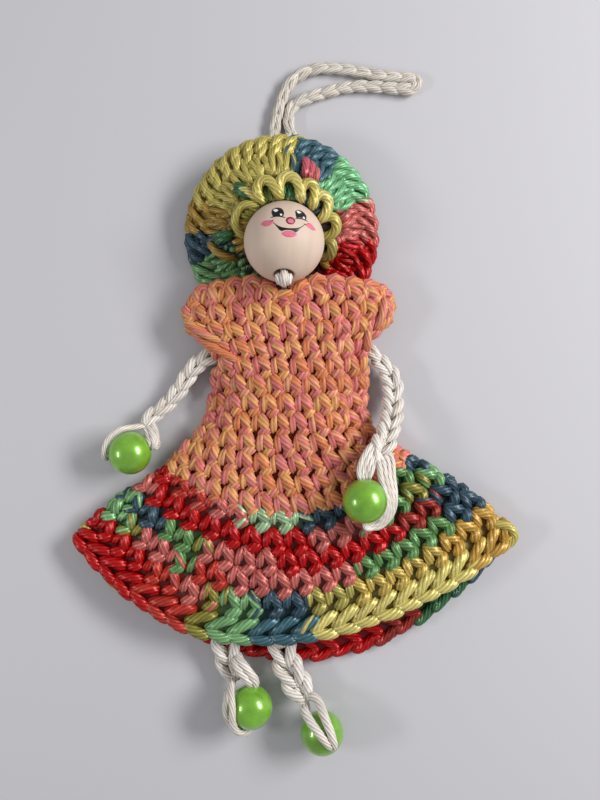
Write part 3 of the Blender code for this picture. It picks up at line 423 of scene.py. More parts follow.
# An arch over the hat's inner edge: degrees from its middle, place on the hat's scale, out in yarn radii
HAT_ARCH = [(9, 14.9, -0.9), (11, 15.3, 0.1), (11, 15.9, 0.7), (6, 16.4, 1.1), (-1, 16.5, 1.1),
            (-7, 16.1, 1.0), (-11, 15.6, 0.9), (-14, 15.2, 0.8), (-19, 14.9, -0.5)]
HAT_ARCH_R = 0.00165
HAT_STRAND_R = 0.00130
HAT_BIT_R = 0.00125
HAT_CLEARANCE = 0.0002
# Each arch: degrees of its middle, width and colour
HAT_ARCHES = ((111, 1.0, "yellow"), (83, 1.15, "straw"), (60, 0.85, "yellow"), (39, 1.0, "straw"),
              (11, 1.1, "yellow"), (-16, 0.85, "olive_yellow"))
# Long strands over the hat: degrees, places on its scale, out in yarn radii, and colour
HAT_STRANDS = (
    ([(129, 14.8, -0.7), (140, 15.8, 0.9), (153, 16.3, 1.1), (167, 16.2, 1.1), (181, 15.4, 0.6),
      (190, 14.6, -0.6)], "yellow"),
    ([(148, 12.8, -0.7), (162, 13.8, 0.8), (178, 13.9, 1.0), (196, 13.6, 1.0), (211, 13.2, 0.5),
      (220, 12.6, -0.7)], "ochre"),
    ([(184, 24.5, -0.6), (190, 22.0, 0.8), (196, 19.6, 0.8), (203, 17.6, -0.6)], "ochre"),
    ([(140, 20.5, -0.7), (137, 18.6, 0.8), (131, 16.6, 1.0), (124, 15.2, -0.6)], "straw"),
    ([(-32, 17.6, -0.7), (-30, 16.2, 0.8), (-33, 14.6, 0.8), (-40, 13.6, -0.7)], "ochre"),
)
# Stitches of other colours among the hat's: degrees, two places on its scale, colour
HAT_BITS = ((71, 17.6, 23.6, "rose"), (66, 17.4, 23.0, "rose"), (61, 17.6, 22.0, "salmon"),
            (133, 16.5, 21.0, "dark_green"), (137, 16.0, 20.0, "dark_green"), (179, 16.5, 22.0, "dark_green"),
            (183, 17.0, 21.5, "dark_green"), (17, 17.5, 21.5, "salmon"), (11, 17.6, 22.5, "salmon"))
HAT_LOBE = [(0.0, 17.4, -0.6), (0.1, 16.2, 0.2), (0.3, 14.6, 0.2), (0.45, 13.2, -0.9)]
HAT_LOBE_LOW = [(0.5, 17.2, -0.6), (0.6, 15.8, 0.2), (0.8, 14.2, 0.2), (0.95, 12.8, -0.9)]
HAT_UNDER_ROWS = ((5, 10), (10, 14.5), (14.5, 18.5), (18.5, 23), (23, 27.5), (27.5, 32))
HAT_UNDER_PITCH = 5.6
HAT_UNDER_SHIFT = 0.37
HAT_UNDER_R = 0.00125
HAT_STITCH_DEPTH = 0.0008
HAT_UNDER_DEPTH = 0.0013
# The hat's colours once round, from the right over the top: edge and rows, then the innermost row
HAT_RUNS = ((0.061, "salmon"), (0.147, "sea"), (0.228, "teal"), (0.44, "yellow"), (0.494, "ochre"),
            (0.54, "blue"), (0.667, "light_green"), (0.80, "teal"), (0.99, "red"), (1.0, "salmon"))
HAT_INNER_RUNS = ((0.10, "shade"), (0.2, "blue"), (0.27, "dark_green"), (0.36, "dark_olive"),
                  (0.46, "olive"), (0.56, "ochre"), (0.62, "shade"), (0.7, "blue"), (0.85, "teal"),
                  (1.0, "shade"))
# Rows on the hat's upper side: count, shift, shapes, colours and yarn radius
HAT_ROWS = (
    (35, 0.3, (HAT_EDGE,), HAT_RUNS, 0.00140),
    (40, 0.0, (HAT_SLANT_OUTER,), HAT_RUNS, 0.00122),
    (38, 0.5, (HAT_SLANT_INNER,), HAT_RUNS, 0.00122),
    (32, 0.2, (HAT_POST_LEFT, HAT_POST_RIGHT), HAT_RUNS, 0.00100),
    (22, 0.4, (HAT_LOBE, HAT_LOBE_LOW), HAT_INNER_RUNS, 0.00125),
)

# The face: directions of its middle, right and top, and its shapes in millimetres
FACE_FRONT = np.array((0.1664, 0.3187, 0.9331))
FACE_RIGHT = np.array((0.9861, -0.0538, -0.1575))
FACE_UP = np.array((0.0, 0.9463, -0.3232))
FACE_EYES = (
    ([(-5.43, 3.32), (-5.12, 4.51), (-4.14, 5.09), (-3.04, 4.93), (-2.24, 4.12), (-1.84, 2.91),
      (-2.03, 1.62), (-2.59, 1.37), (-3.69, 1.52), (-4.92, 1.51)],
     ([(-5.0, 4.15), (-4.3, 4.55), (-3.5, 3.89), (-4.28, 3.28)],
      [(-3.11, 2.2), (-2.74, 2.45), (-2.38, 2.07), (-2.73, 1.55)]),
     [(-5.73, 1.32), (-4.78, 1.49), (-3.69, 1.52), (-2.59, 1.28), (-1.41, 0.91)]),
    ([(1.54, 3.71), (2.26, 4.57), (3.32, 4.57), (4.37, 4.03), (5.02, 3.09), (5.01, 1.95),
      (4.55, 1.23), (3.17, 1.31), (1.98, 1.19), (1.64, 2.56)],
     ([(1.92, 3.9), (2.54, 4.23), (3.45, 3.66), (2.48, 3.15)],
      [(3.8, 2.04), (4.2, 2.33), (4.54, 1.85), (4.17, 1.48)]),
     [(1.39, 0.9), (2.27, 1.17), (3.48, 1.31), (4.55, 1.23), (5.49, 1.05)]),
)
NOSE_RIM = ((0.05, 0.05), (1.40, 1.24))
NOSE = ((0.09, -0.06), (0.93, 0.79))
FACE_SMILE = [(-5.18, -0.21), (-3.94, -1.53), (-2.27, -2.35), (0.13, -2.53), (2.3, -2.08), (3.48, -1.37),
              (4.54, -0.28)]
FACE_MOUTH_LOW = [(-5.18, -0.21), (-3.93, -1.9), (-2.78, -3.32), (-1.96, -3.09), (-0.56, -2.94),
                  (0.87, -3.02), (1.91, -3.42), (2.89, -2.1), (4.54, -0.28)]
FACE_TONGUE = [(-2.54, -3.94), (-1.67, -3.4), (-0.34, -3.21), (1.03, -3.28), (2.16, -3.93),
               (1.11, -4.68), (-0.24, -4.93), (-1.6, -4.67)]
FACE_CHEEKS = (
    [(-8.38, -0.08), (-7.45, 0.62), (-6.13, 0.48), (-4.78, -0.03), (-5.57, -1.15), (-7.16, -1.23)],
    [(4.69, -0.23), (5.96, 0.77), (7.44, 0.16), (8.21, -0.69), (6.78, -1.13), (5.32, -0.79)],
)
FACE_TICKS = ([(-5.93, 0.26), (-5.46, 0.08), (-4.92, 0.4)], [(4.15, -0.08), (4.54, -0.31), (5.0, -0.28)])

# Colours of the skirt's rows from the left tip: over the front to 0.5, then back
SKIRT_RUNS = (
    ((0.04, "red"), (0.11, "red_salmon"), (0.17, "salmon"), (0.27, "mint"), (0.35, "blue"),
     (0.40, "olive"), (0.46, "green"), (0.70, "blue"), (0.85, "salmon"), (1.0, "red")),
    ((0.04, "salmon"), (0.28, "red"), (0.36, "salmon"), (0.43, "green"), (0.47, "olive"),
     (0.53, "light_green"), (0.56, "blue"), (0.70, "yellow"), (0.85, "green"), (1.0, "salmon")),
    ((0.03, "light_green"), (0.075, "blue"), (0.125, "green"), (0.14, "olive"), (0.23, "salmon"),
     (0.39, "red"), (0.455, "brick"), (0.60, "blue"), (0.80, "yellow"), (1.0, "blue")),
    ((0.045, "light_green"), (0.06, "olive"), (0.115, "salmon"), (0.13, "green"), (0.17, "red_salmon"),
     (0.325, "salmon"), (0.45, "green"), (0.55, "blue"), (0.75, "red"), (0.9, "yellow"), (1.0, "green")),
    ((0.085, "red"), (0.125, "red_salmon"), (0.16, "salmon"), (0.175, "olive"), (0.215, "light_green"),
     (0.265, "blue"), (0.32, "olive_yellow"), (0.42, "gold_yellow"), (0.515, "gold"), (0.575, "dark_green"),
     (0.62, "green"), (0.66, "brick"), (1.0, "red")),
)
HEM_RUNS = ((0.10, "red"), (0.155, "red_salmon"), (0.175, "olive"), (0.215, "light_green"), (0.272, "teal"),
            (0.45, "straw"), (0.515, "gold"), (0.575, "blue"), (0.625, "dark_green"), (0.67, "brick"),
            (0.86, "red"), (0.93, "dark_olive"), (1.0, "yellow"))

# Camera, floor and light
CAMERA_PLACE = (0.003317, 0, 0.263)
CAMERA_LENS = 35.685
CAMERA_SENSOR = 36
FLOOR_SIZE = 12
FLOOR_Z = -0.0002
FLOOR_COLOUR = (0.52, 0.51, 0.53, 1)
SKY_COLOUR = (0.95, 0.96, 1.0, 1)
SKY_STRENGTH = 0.38
LIGHTS = (
    ("Window", (0.52, 0.17, 0.40), (0.40, 0.16), 4.9),
    ("Second window", (-0.42, -0.05, 0.30), (0.16, 0.07), 0.7),
)
# How noise over the fibres is stretched, and how the gloss follows the dye
FIBRE_STRETCH = (0.5, 5.0, 1.0)
GLOSS_SCALE = (1.5, 1.5, 1.5)
GLOSS_BASE = (0.17, 0.17, 0.17)


def linear(name):
    """A palette colour in linear light."""
    value = np.array(PALETTE[name]) / 255
    return np.where(value < 0.04045, value / 12.92, ((value + 0.055) / 1.055) ** 2.4)


def smooth(points, per):
    """Points of the Catmull-Rom curve through the given ones, per steps a piece."""
    points = np.asarray(points, float)
    wide = np.concatenate([points[:1], points, points[-1:]])
    before, start, end, after = (piece[:, None] for piece in (wide[:-3], wide[1:-2], wide[2:-1], wide[3:]))
    share = (np.arange(per) / per).reshape((1, per) + (1,) * (points.ndim - 1))
    linear_part = (end - before) / 2
    square = before - start * 2.5 + end * 2 - after / 2
    cube = (after - before) / 2 + (start - end) * 1.5
    curve = start + linear_part * share + square * share**2 + cube * share**3
    return np.concatenate([curve.reshape((-1,) + points.shape[1:]), points[-1:]])


def resample(points, count):
    """Evenly spaced points along an open line."""
    steps = np.linalg.norm(np.diff(points[:, :3], axis=0), axis=1)
    along = np.concatenate([[0], np.cumsum(steps)])
    wanted = np.linspace(0, along[-1], count)
    return np.stack([np.interp(wanted, along, column) for column in points.T], axis=1)


def unit(vectors):
    return vectors / np.maximum(np.linalg.norm(vectors, axis=-1, keepdims=True), 1e-12)


class Yarn:
    """Strands of plied yarn that become one mesh."""

    # groove is how dark the furrows between plies are painted: painted shade in the colour
    def __init__(self, groove=0.56):
        self.groove = groove
        self.points = []
        self.dyes = []
        self.fibres = []
        self.quads = []
        self.caps = []
        self.count = 0

    def lay(self, paths, fronts, radii, dyes):
        """Add strands: paths (S, K, 3), fronts (S, 3), radii (S, K) and dyes (S, PLIES, 3)."""
        strands, rings = paths.shape[:2]
        steps = np.linalg.norm(np.diff(paths, axis=1), axis=2)
        along = np.concatenate([np.zeros((strands, 1)), np.cumsum(steps, axis=1)], axis=1)
        tangents = unit(np.gradient(paths, axis=1))
        normals = np.empty_like(paths)
        normal = fronts
        for ring in range(rings):
            tangent = tangents[:, ring]
            normal = unit(normal - tangent * np.sum(normal * tangent, axis=1, keepdims=True))
            normals[:, ring] = normal
        binormals = np.cross(tangents, normals)
        side = np.arange(SIDES)
        turn = RNG.uniform(0, 2 * math.pi, (strands, 1, 1))
        angle = 2 * math.pi * (side / SIDES - along[:, :, None] / PLY_TURN) + turn
        groove = side % 3 == 0
        reach = radii[:, :, None] * np.where(groove, PLY_GROOVE, 1.0)
        out = (normals[:, :, None] * np.cos(angle)[..., None]
               + binormals[:, :, None] * np.sin(angle)[..., None])
        points = paths[:, :, None] + out * reach[..., None]
        # Painted shade: the colour is darker in the furrows between plies
        shade = np.where(groove, self.groove, 1.0)
        shades = dyes[:, None, side // 3] * shade[:, None] * np.ones((1, rings, 1, 1))
        fibre = np.stack(np.broadcast_arrays(
            along[:, :, None] * 1000, side * (2 * math.pi / SIDES) * np.ones((strands, rings, 1)),
            turn * 7), axis=-1)
        index = self.count + np.arange(strands * rings * SIDES).reshape(strands, rings, SIDES)
        after = np.roll(index, -1, axis=2)
        quads = np.stack([index[:, :-1], after[:, :-1], after[:, 1:], index[:, 1:]], axis=-1)
        self.points.append(points.reshape(-1, 3))
        self.dyes.append(shades.reshape(-1, 3))
        self.fibres.append(fibre.reshape(-1, 3))
        self.quads.append(quads.reshape(-1, 4))
        self.caps.append(np.concatenate([index[:, 0, ::-1], index[:, -1]]))
        self.count += strands * rings * SIDES

    def make(self, name, material):
        """The object of all strands laid so far."""
        points = np.concatenate(self.points)
        quads = np.concatenate(self.quads)
        caps = np.concatenate(self.caps)
        loops = np.concatenate([quads.ravel(), caps.ravel()])
        starts = np.concatenate([np.arange(len(quads)) * 4,
                                 len(quads) * 4 + np.arange(len(caps)) * SIDES])
        obj = raw_object(name, points, loops, starts, material)
        add_attributes(obj.data, np.concatenate(self.dyes), np.concatenate(self.fibres))
        return obj


def raw_object(name, points, loops, starts, material):
    """An object of smooth faces, each from its start in the list of corners."""
    mesh = bpy.data.meshes.new(name)
    mesh.vertices.add(len(points))
    mesh.vertices.foreach_set("co", np.asarray(points, np.float32).ravel())
    mesh.loops.add(len(loops))
    mesh.loops.foreach_set("vertex_index", np.asarray(loops, np.int32))
    mesh.polygons.add(len(starts))
    mesh.polygons.foreach_set("loop_start", np.asarray(starts, np.int32))
    mesh.update(calc_edges=True)
    mesh.shade_smooth()
    mesh.materials.append(material)
    obj = bpy.data.objects.new(name, mesh)
    bpy.context.scene.collection.objects.link(obj)
    return obj


def add_attributes(mesh, dyes, fibres):
    """The yarn's colour with its painted shade, in the furrows between plies or over a whole dark sheet, and
    its length and angle for the fibres.
    """
    rgba = np.concatenate([dyes, np.ones((len(dyes), 1))], axis=1).astype(np.float32)
    # The dye attribute holds the dye together with its painted shade
    mesh.color_attributes.new(name="dye", type="FLOAT_COLOR", domain="POINT").data.foreach_set(
        "color", rgba.ravel())
    mesh.attributes.new(name="fibre", type="FLOAT_VECTOR", domain="POINT").data.foreach_set(
        "vector", fibres.astype(np.float32).ravel())


def taper(count, end=0.42, power=2.8):
    """How thick a strand is along itself: full in the middle, thin at both ends."""
    share = np.linspace(-1, 1, count)
    return end + (1 - end) * (1 - np.abs(share) ** power)


class Sheet:
    """A smooth surface through closed rings: t counts the rings, f runs once round."""

    def __init__(self, rings):
        self.grid = smooth(rings, ROW_STEPS)
        down = np.gradient(self.grid, axis=0)
        around = np.roll(self.grid, -1, axis=1) - np.roll(self.grid, 1, axis=1)
        self.normals = unit(np.cross(down, around))

    def at(self, t, f):
        """Points and outward normals at arrays of t and f."""
        rows, count = self.grid.shape[:2]
        row = np.asarray(t) * ROW_STEPS
        low = np.clip(np.floor(row).astype(int), 0, rows - 2)
        place = (np.asarray(f) % 1.0) * count
        left = np.floor(place).astype(int) % count
        right = (left + 1) % count
        down = (row - low)[..., None]
        over = (place - np.floor(place))[..., None]
        result = []
        for values in (self.grid, self.normals):
            upper = values[low, left] * (1 - over) + values[low, right] * over
            lower = values[low + 1, left] * (1 - over) + values[low + 1, right] * over
            result.append(upper * (1 - down) + lower * down)
        return result[0], unit(result[1])

    def flipped(self, wall):
        """The sheet's other side, a wall behind this one, with f running the other way."""
        other = object.__new__(Sheet)
        other.grid = (self.grid - self.normals * wall)[:, ::-1]
        other.normals = -self.normals[:, ::-1]
        return other

    def half_length(self, t, back=False):
        """The length of the front or back half of the ring at t."""
        count = self.grid.shape[1]
        shares = np.arange(count // 2 + 1) / count + (0.5 if back else 0.0)
        line = self.at(np.full(len(shares), t), shares)[0]
        return np.linalg.norm(np.diff(line, axis=0), axis=1).sum()


def row_line(left, right, low, share):
    """Points on a curved row: share runs from -1 at the left end to 1 at the right."""
    x = left[0] + (right[0] - left[0]) * (share + 1) / 2
    end_x = np.where(x < low[0], left[0], right[0])
    end_y = np.where(x < low[0], left[1], right[1])
    reach = np.abs((x - low[0]) / (end_x - low[0]))
    return x, low[1] + (end_y - low[1]) * reach**ROW_CURVE


def dress_ring(left, right, low_front, low_back, base, side, top, dip=0.0, wave=0.0):
    """One row round the dress: from its left tip over the front to the right tip and back."""
    fold_r = side / 2
    ends = []
    for tip, share in ((left, -FOLD_SHARE), (right, FOLD_SHARE)):
        inner = np.array(row_line(left, right, (low_front + low_back) / 2, share))
        outward = unit(tip - inner)
        ends.append((tip - outward * fold_r, outward))
    (left_end, left_out), (right_end, right_out) = ends

    def fold(end, outward, degrees):
        angle = np.radians(degrees)[:, None]
        place = end + outward * fold_r * np.cos(angle)
        return np.concatenate([place, base + fold_r + fold_r * np.sin(angle)], axis=1)

    share = np.linspace(-1, 1, LINE_STEPS + 1)
    x, y = row_line(left_end, right_end, low_front, share)
    crown = 1 - np.abs(share) ** FLATNESS
    ripple = wave * crown * (1 - np.cos(HEM_WAVES * math.pi * (share + 1))) / 2
    notch = dip * np.exp(-((x - HEAD_X) / NECK_DIP_WIDTH) ** 2)
    front = np.stack([x, y - notch, base + side + (top - side) * crown + ripple], axis=1)
    x, y = row_line(left_end, right_end, low_back, -share)
    back = np.stack([x, y, np.full_like(x, base)], axis=1)
    up = np.linspace(0, 90, FOLD_STEPS + 1)[:-1]
    halves = (
        np.concatenate([fold(left_end, left_out, up), front,
                        fold(right_end, right_out, 90 - up - 90 / FOLD_STEPS)]),
        np.concatenate([fold(right_end, right_out, -up), back,
                        fold(left_end, left_out, up + 90 / FOLD_STEPS - 90)]),
    )
    return np.concatenate([resample(half, HALF_STEPS + 1)[:-1] for half in halves])


def bodice_sheet():
    rings = []
    for index, shares in enumerate(BODICE_ROW_SHARES):
        middle, left_x, left_drop, right_x, right_drop, base, side, top = shares
        low = np.array((0, NECK_Y - middle * BODICE_LENGTH))
        left = np.array((left_x * CHEST_HALF_WIDTH, NECK_Y - left_drop * BODICE_LENGTH))
        right = np.array((right_x * CHEST_HALF_WIDTH, NECK_Y - right_drop * BODICE_LENGTH))
        dip = NECK_DIP * NECK_DIP_SHARE if index == 0 else 0.0
        rings.append(dress_ring(left, right, low, low, base * BODICE_HEIGHT,
                                side * BODICE_HEIGHT, (top - base) * BODICE_HEIGHT, dip))
    return Sheet(np.array(rings))


def skirt_sheet():
    seam_y = NECK_Y - BODICE_ROW_SHARES[-1][0] * BODICE_LENGTH - SEAM_GAP
    rings = []
    for index, shares in enumerate(SKIRT_ROW_SHARES):
        front, back, left_x, left_drop, right_x, right_drop, front_x, back_x, side, top = shares
        low_front = np.array((front_x * HEM_HALF_WIDTH, seam_y - front * SKIRT_LENGTH))
        low_back = np.array((back_x * HEM_HALF_WIDTH, seam_y - back * SKIRT_LENGTH))
        left = np.array((left_x * HEM_HALF_WIDTH, seam_y - left_drop * SKIRT_LENGTH))
        right = np.array((right_x * HEM_HALF_WIDTH, seam_y - right_drop * SKIRT_LENGTH))
        wave = HEM_WAVE * index / (len(SKIRT_ROW_SHARES) - 1)
        rings.append(dress_ring(left, right, low_front, low_back, 0.0, side * SKIRT_HEIGHT,
                                top * SKIRT_HEIGHT, 0.0, wave))
    return Sheet(np.array(rings))


def crown_ring(elevation, opening):
    centre = np.array((HEAD_X, HEAD_Y, HEAD_Z))
    axis = np.array((0, math.cos(elevation), -math.sin(elevation)))
    up = np.array((0, math.sin(elevation), math.cos(elevation)))
    angle = np.linspace(0, 2 * math.pi, 2 * HALF_STEPS, endpoint=False)[:, None]
    out = np.cos(angle) * np.array((1, 0, 0)) + np.sin(angle) * up
    return centre + (axis * math.cos(opening) + out * math.sin(opening)) * CROWN_R


def brim_ring(share):
    """A ring of the brim, from the fold beside the head at 0 to its edge at 1."""
    angle = np.linspace(0, 2 * math.pi, 2 * HALF_STEPS, endpoint=False)
    tuck = BRIM_TUCK * np.minimum(np.sin(angle), 0) ** 2
    radius = BRIM_FOLD_R + (BRIM_R - BRIM_FOLD_R) * share - tuck
    x = HEAD_X + (BRIM_X - HEAD_X) * share + radius * np.cos(angle)
    y = BRIM_FOLD_Y + (BRIM_Y - BRIM_FOLD_Y) * share + radius * np.sin(angle)
    rise = BRIM_FOLD_RISE + (BRIM_RISE - BRIM_FOLD_RISE) * share
    level = BRIM_FOLD_Z + (BRIM_EDGE_Z - BRIM_FOLD_Z) * share
    lift = np.clip((y - BRIM_FLAT_Y) / BRIM_RISE_LENGTH, 0, 1)
    height = level + rise * np.sin(angle)
    return np.stack([x, y, HAT_WALL + (height - HAT_WALL) * lift**2 * (3 - 2 * lift)], axis=1)


def hat_sheet():
    rings = []
    for elevation, half_angle in CROWN_RINGS:
        if half_angle is None:
            opening = math.asin(CROWN_HOLE_R / CROWN_R)
        else:
            opening = math.radians(half_angle)
        rings.append(crown_ring(math.radians(elevation), opening))
    return Sheet(np.array(rings + [brim_ring(share) for share in BRIM_SHARES]))


def shaped(shape):
    """Evenly spaced places along a stitch's shape."""
    return resample(smooth(shape, SHAPE_STEPS), RINGS)


def levels(start, height):
    """Ring numbers of places down a row that starts at a ring number."""
    return lambda down: start + down * height


def hat_level(radius):
    """Ring numbers at places on the hat's scale."""
    return np.interp(radius, HAT_RADII, np.arange(len(HAT_RADII)))


def facing_down(normals):
    """How far a surface faces down: 0 where it faces up or sideways and 1 underneath."""
    return np.clip(-DOWN_SLOPE * normals[..., 2], 0, 1)


def lay_row(yarns, sheet, level, count, phase, shapes, dye, radius=YARN_R, skip=None,
            depths=(FRONT_DEPTH, BACK_DEPTH)):
    """Lay a row of stitches on both halves of a sheet.

    yarns are the front's and the back's. level turns places down a stitch into ring
    numbers, and dye gives the ply colours at an array of f.
    """
    places = ((np.arange(count) + phase) / count) % 1.0
    back = places >= 0.5
    for shape, thickness in shapes:
        path = shaped(shape)[None] + RNG.normal(0, STRAY, (count, 1, 3))
        points, normals = sheet.at(level(path[..., 1]), places[:, None] + path[..., 0] / count)
        depth = depths[0] + (depths[1] - depths[0]) * facing_down(normals)
        points = points + normals * (path[..., 2] * radius - depth)[..., None]
        radii = radius * thickness * taper(RINGS) * RNG.normal(1, UNEVEN_STITCH, (count, 1))
        dyes = dye(places + path[:, RINGS // 2, 0] / count)
        kept = np.ones(count, bool) if skip is None else ~skip(points[:, RINGS // 2])
        for yarn, half in zip(yarns, (~back, back)):
            chosen = half & kept
            if chosen.any():
                yarn.lay(points[chosen], normals[chosen, 0], radii[chosen], dyes[chosen])


def lay_places(yarn, sheet, places, radius, dye):
    """Lay a strand over a sheet through places of ring number, f and yarn radii outwards."""
    rings = 3 * RINGS
    path = smooth(places, CURVE_STEPS)
    points, normals = sheet.at(path[:, 0], path[:, 1])
    points = points + normals * (path[:, 2:] * radius)
    line = resample(np.concatenate([points, normals], axis=1), rings)
    radii = radius * taper(rings, *PLACED_TAPER)
    yarn.lay(line[None, :, :3], line[:1, 3:], radii[None], dye(np.zeros(1)))


def marled(names, drift, softness=0.3):
    """Ply colours in three groups that wander through the named ones from stitch to stitch."""
    colours = np.array([linear(name) for name in names])
    colours += (colours.mean(axis=0) - colours) * softness
    group = (np.arange(PLIES) * 3) // PLIES

    def dye(places):
        steps = RNG.normal(0, drift, (len(places), 3))
        walk = np.cumsum(steps, axis=0) + RNG.uniform(0, len(names), 3)
        walk = walk[:, group] + RNG.normal(0, PLY_DRIFT, (len(places), PLIES))
        chosen = colours[np.floor(walk).astype(int) % len(names)]
        return chosen * RNG.normal(1, UNEVEN_MARL, (len(places), PLIES, 1))
    return dye


def colours_at(runs, places):
    """The colours of runs of (end, colour name) at places from 0 to 1."""
    ends = np.array([end for end, _ in runs])
    colours = np.array([linear(name) for _, name in runs])
    return colours[np.minimum(np.searchsorted(ends, places), len(ends) - 1)]


def striped(runs):
    """Ply colours of a row that changes colour along itself.

    runs are (f where the run ends, colour name) and go once round.
    """
    def dye(places):
        blurred = (places[:, None] + RNG.normal(0, STRIPE_BLUR, (len(places), PLIES))) % 1.0
        return colours_at(runs, blurred) * RNG.normal(1, UNEVEN_STRIPE, (len(places), PLIES, 1))
    return dye


def plain(name):
    """Ply colours of a strand of one colour."""
    return striped(((1.0, name),))


def mirrored(runs):
    """The same runs seen from behind."""
    starts = [0.0] + [end for end, _ in runs[:-1]]
    return [(1 - start, name) for start, (_, name) in zip(starts, runs)][::-1]


class Route:
    """A cord's middle line with a side and a front at each point.

    Each point may also have the local thickness and the spread between strands, as shares.
    """

    def __init__(self, points, front=(0, 0, 1)):
        points = np.array([(*point, 1.0, 1.0)[:5] for point in points], float)
        line = resample(smooth(points, CURVE_STEPS), ROUTE_STEPS)
        steps = np.linalg.norm(np.diff(line[:, :3], axis=0), axis=1)
        self.along = np.concatenate([[0], np.cumsum(steps)])
        self.length = self.along[-1]
        self.points = line[:, :3]
        self.shares = line[:, 3]
        self.spreads = line[:, 4]
        tangents = unit(np.gradient(self.points, axis=0))
        self.sides = unit(np.cross(tangents, front))
        self.fronts = np.cross(self.sides, tangents)

    def at(self, along, over, out):
        """Points at distances along the route, to its side and out of its front."""
        def pick(columns):
            return np.stack([np.interp(along, self.along, column) for column in columns.T], axis=-1)
        fronts = pick(self.fronts)
        points = pick(self.points) + pick(self.sides) * over[..., None] + fronts * out[..., None]
        return points, fronts


def chain(yarn, route, pitch, widths, thick, radius, dye):
    """Lay the links of a crocheted cord along a route, its front and its back."""
    count = max(1, round(route.length / pitch))
    step = route.length / count
    starts = np.arange(count)[:, None] * step
    middles = np.linspace(0, 1, count)
    half = np.interp(middles, np.linspace(0, 1, len(widths)), widths)[:, None] / 2 - radius
    reach = thick / 2 - radius
    for shape, thickness in LINK_SHAPES:
        for mirror in (1, -1):
            path = shaped(shape)[None] + RNG.normal(0, STRAY, (count, 1, 3))
            points, fronts = route.at(starts + path[..., 0] * step, mirror * path[..., 1] * half,
                                      path[..., 2] * reach)
            radii = radius * thickness * taper(RINGS) * RNG.normal(1, UNEVEN_LINK, (count, 1))
            yarn.lay(points, fronts[:, 0], radii, dye(np.zeros(count)))


def strands(yarn, route, radius, apart, dye, count=2, twist=None):
    """Lay long strands side by side along a route, or twisted once each twist metres."""
    rings = max(4, round(route.length / STRAND_STEP))
    along = np.linspace(0, route.length, rings)
    share = np.interp(along, route.along, route.shares)
    spread = np.interp(along, route.along, route.spreads) * share * apart
    for index in range(count):
        if twist:
            angle = 2 * math.pi * (along / twist + index / count)
            over, out = np.cos(angle) * spread, np.sin(angle) * spread
        else:
            over = (index * 2 - (count - 1)) * spread
            out = np.zeros(rings)
        points, fronts = route.at(along, over, out)
        radii = radius * share * taper(rings, *LONG_TAPER)
        yarn.lay(points[None], fronts[:1], radii[None], dye(np.zeros(1)))


def shade_sheet_depth(t, normals, hem=None):
    """How deep the dark sheet of painted shade lies: behind the stitches, but amid them at the back from a
    hem's ring on.
    """
    back = facing_down(normals)
    depth = SHADE_SHEET_DEPTH + (BACK_DEPTH - FRONT_DEPTH) * back
    if hem is not None:
        depth = depth - HEM_SHADE_SHEET_DROP * back * np.clip((t - hem) / HEM_SHADE_SHEET_FADE, 0, 1)
    return depth


def shade_sheet(name, sheet, span, depth, shade, material, hole=None):
    """A thin closed dark sheet behind the stitches between two ring numbers, coloured with painted shade."""
    t, f = np.meshgrid(np.linspace(*span, SHADE_SHEET_ROWS), np.arange(SHADE_SHEET_STEPS) / SHADE_SHEET_STEPS,
                       indexing="ij")
    points, normals = sheet.at(t, f)
    outer = depth(t, normals)[..., None]
    both = np.concatenate([(points - normals * (outer + extra)).reshape(-1, 3)
                           for extra in (0, SHADE_SHEET_THICKNESS)])
    kept = np.ones((SHADE_SHEET_ROWS - 1, SHADE_SHEET_STEPS), bool)
    if hole is not None:
        middles = (points[:-1] + np.roll(points[1:], -1, axis=1)) / 2
        kept = ~hole(middles.reshape(-1, 3)).reshape(kept.shape)
    index = np.arange(SHADE_SHEET_ROWS * SHADE_SHEET_STEPS).reshape(SHADE_SHEET_ROWS, SHADE_SHEET_STEPS)
    behind = index.size
    after = np.roll(index, -1, axis=1)
    corners = (index[:-1], index[1:], after[1:], after[:-1])
    wide = np.pad(kept, ((1, 1), (0, 0)))
    open_sides = (kept & ~np.roll(kept, 1, axis=1), kept & ~wide[2:],
                  kept & ~np.roll(kept, -1, axis=1), kept & ~wide[:-2])
    quads = [np.stack([corner[kept] for corner in corners], axis=1),
             np.stack([corner[kept] + behind for corner in corners[::-1]], axis=1)]
    for place, at_edge in enumerate(open_sides):
        first = corners[place][at_edge]
        second = corners[(place + 1) % 4][at_edge]
        quads.append(np.stack([second, first, first + behind, second + behind], axis=1))
    quads = np.concatenate(quads)
    used, loops = np.unique(quads, return_inverse=True)
    obj = raw_object(name, both[used], loops.ravel(), np.arange(len(quads)) * 4, material)
    shades = shade(t, f).reshape(-1, 3)
    add_attributes(obj.data, np.concatenate([shades, shades])[used], both[used] * 1000)
    return obj


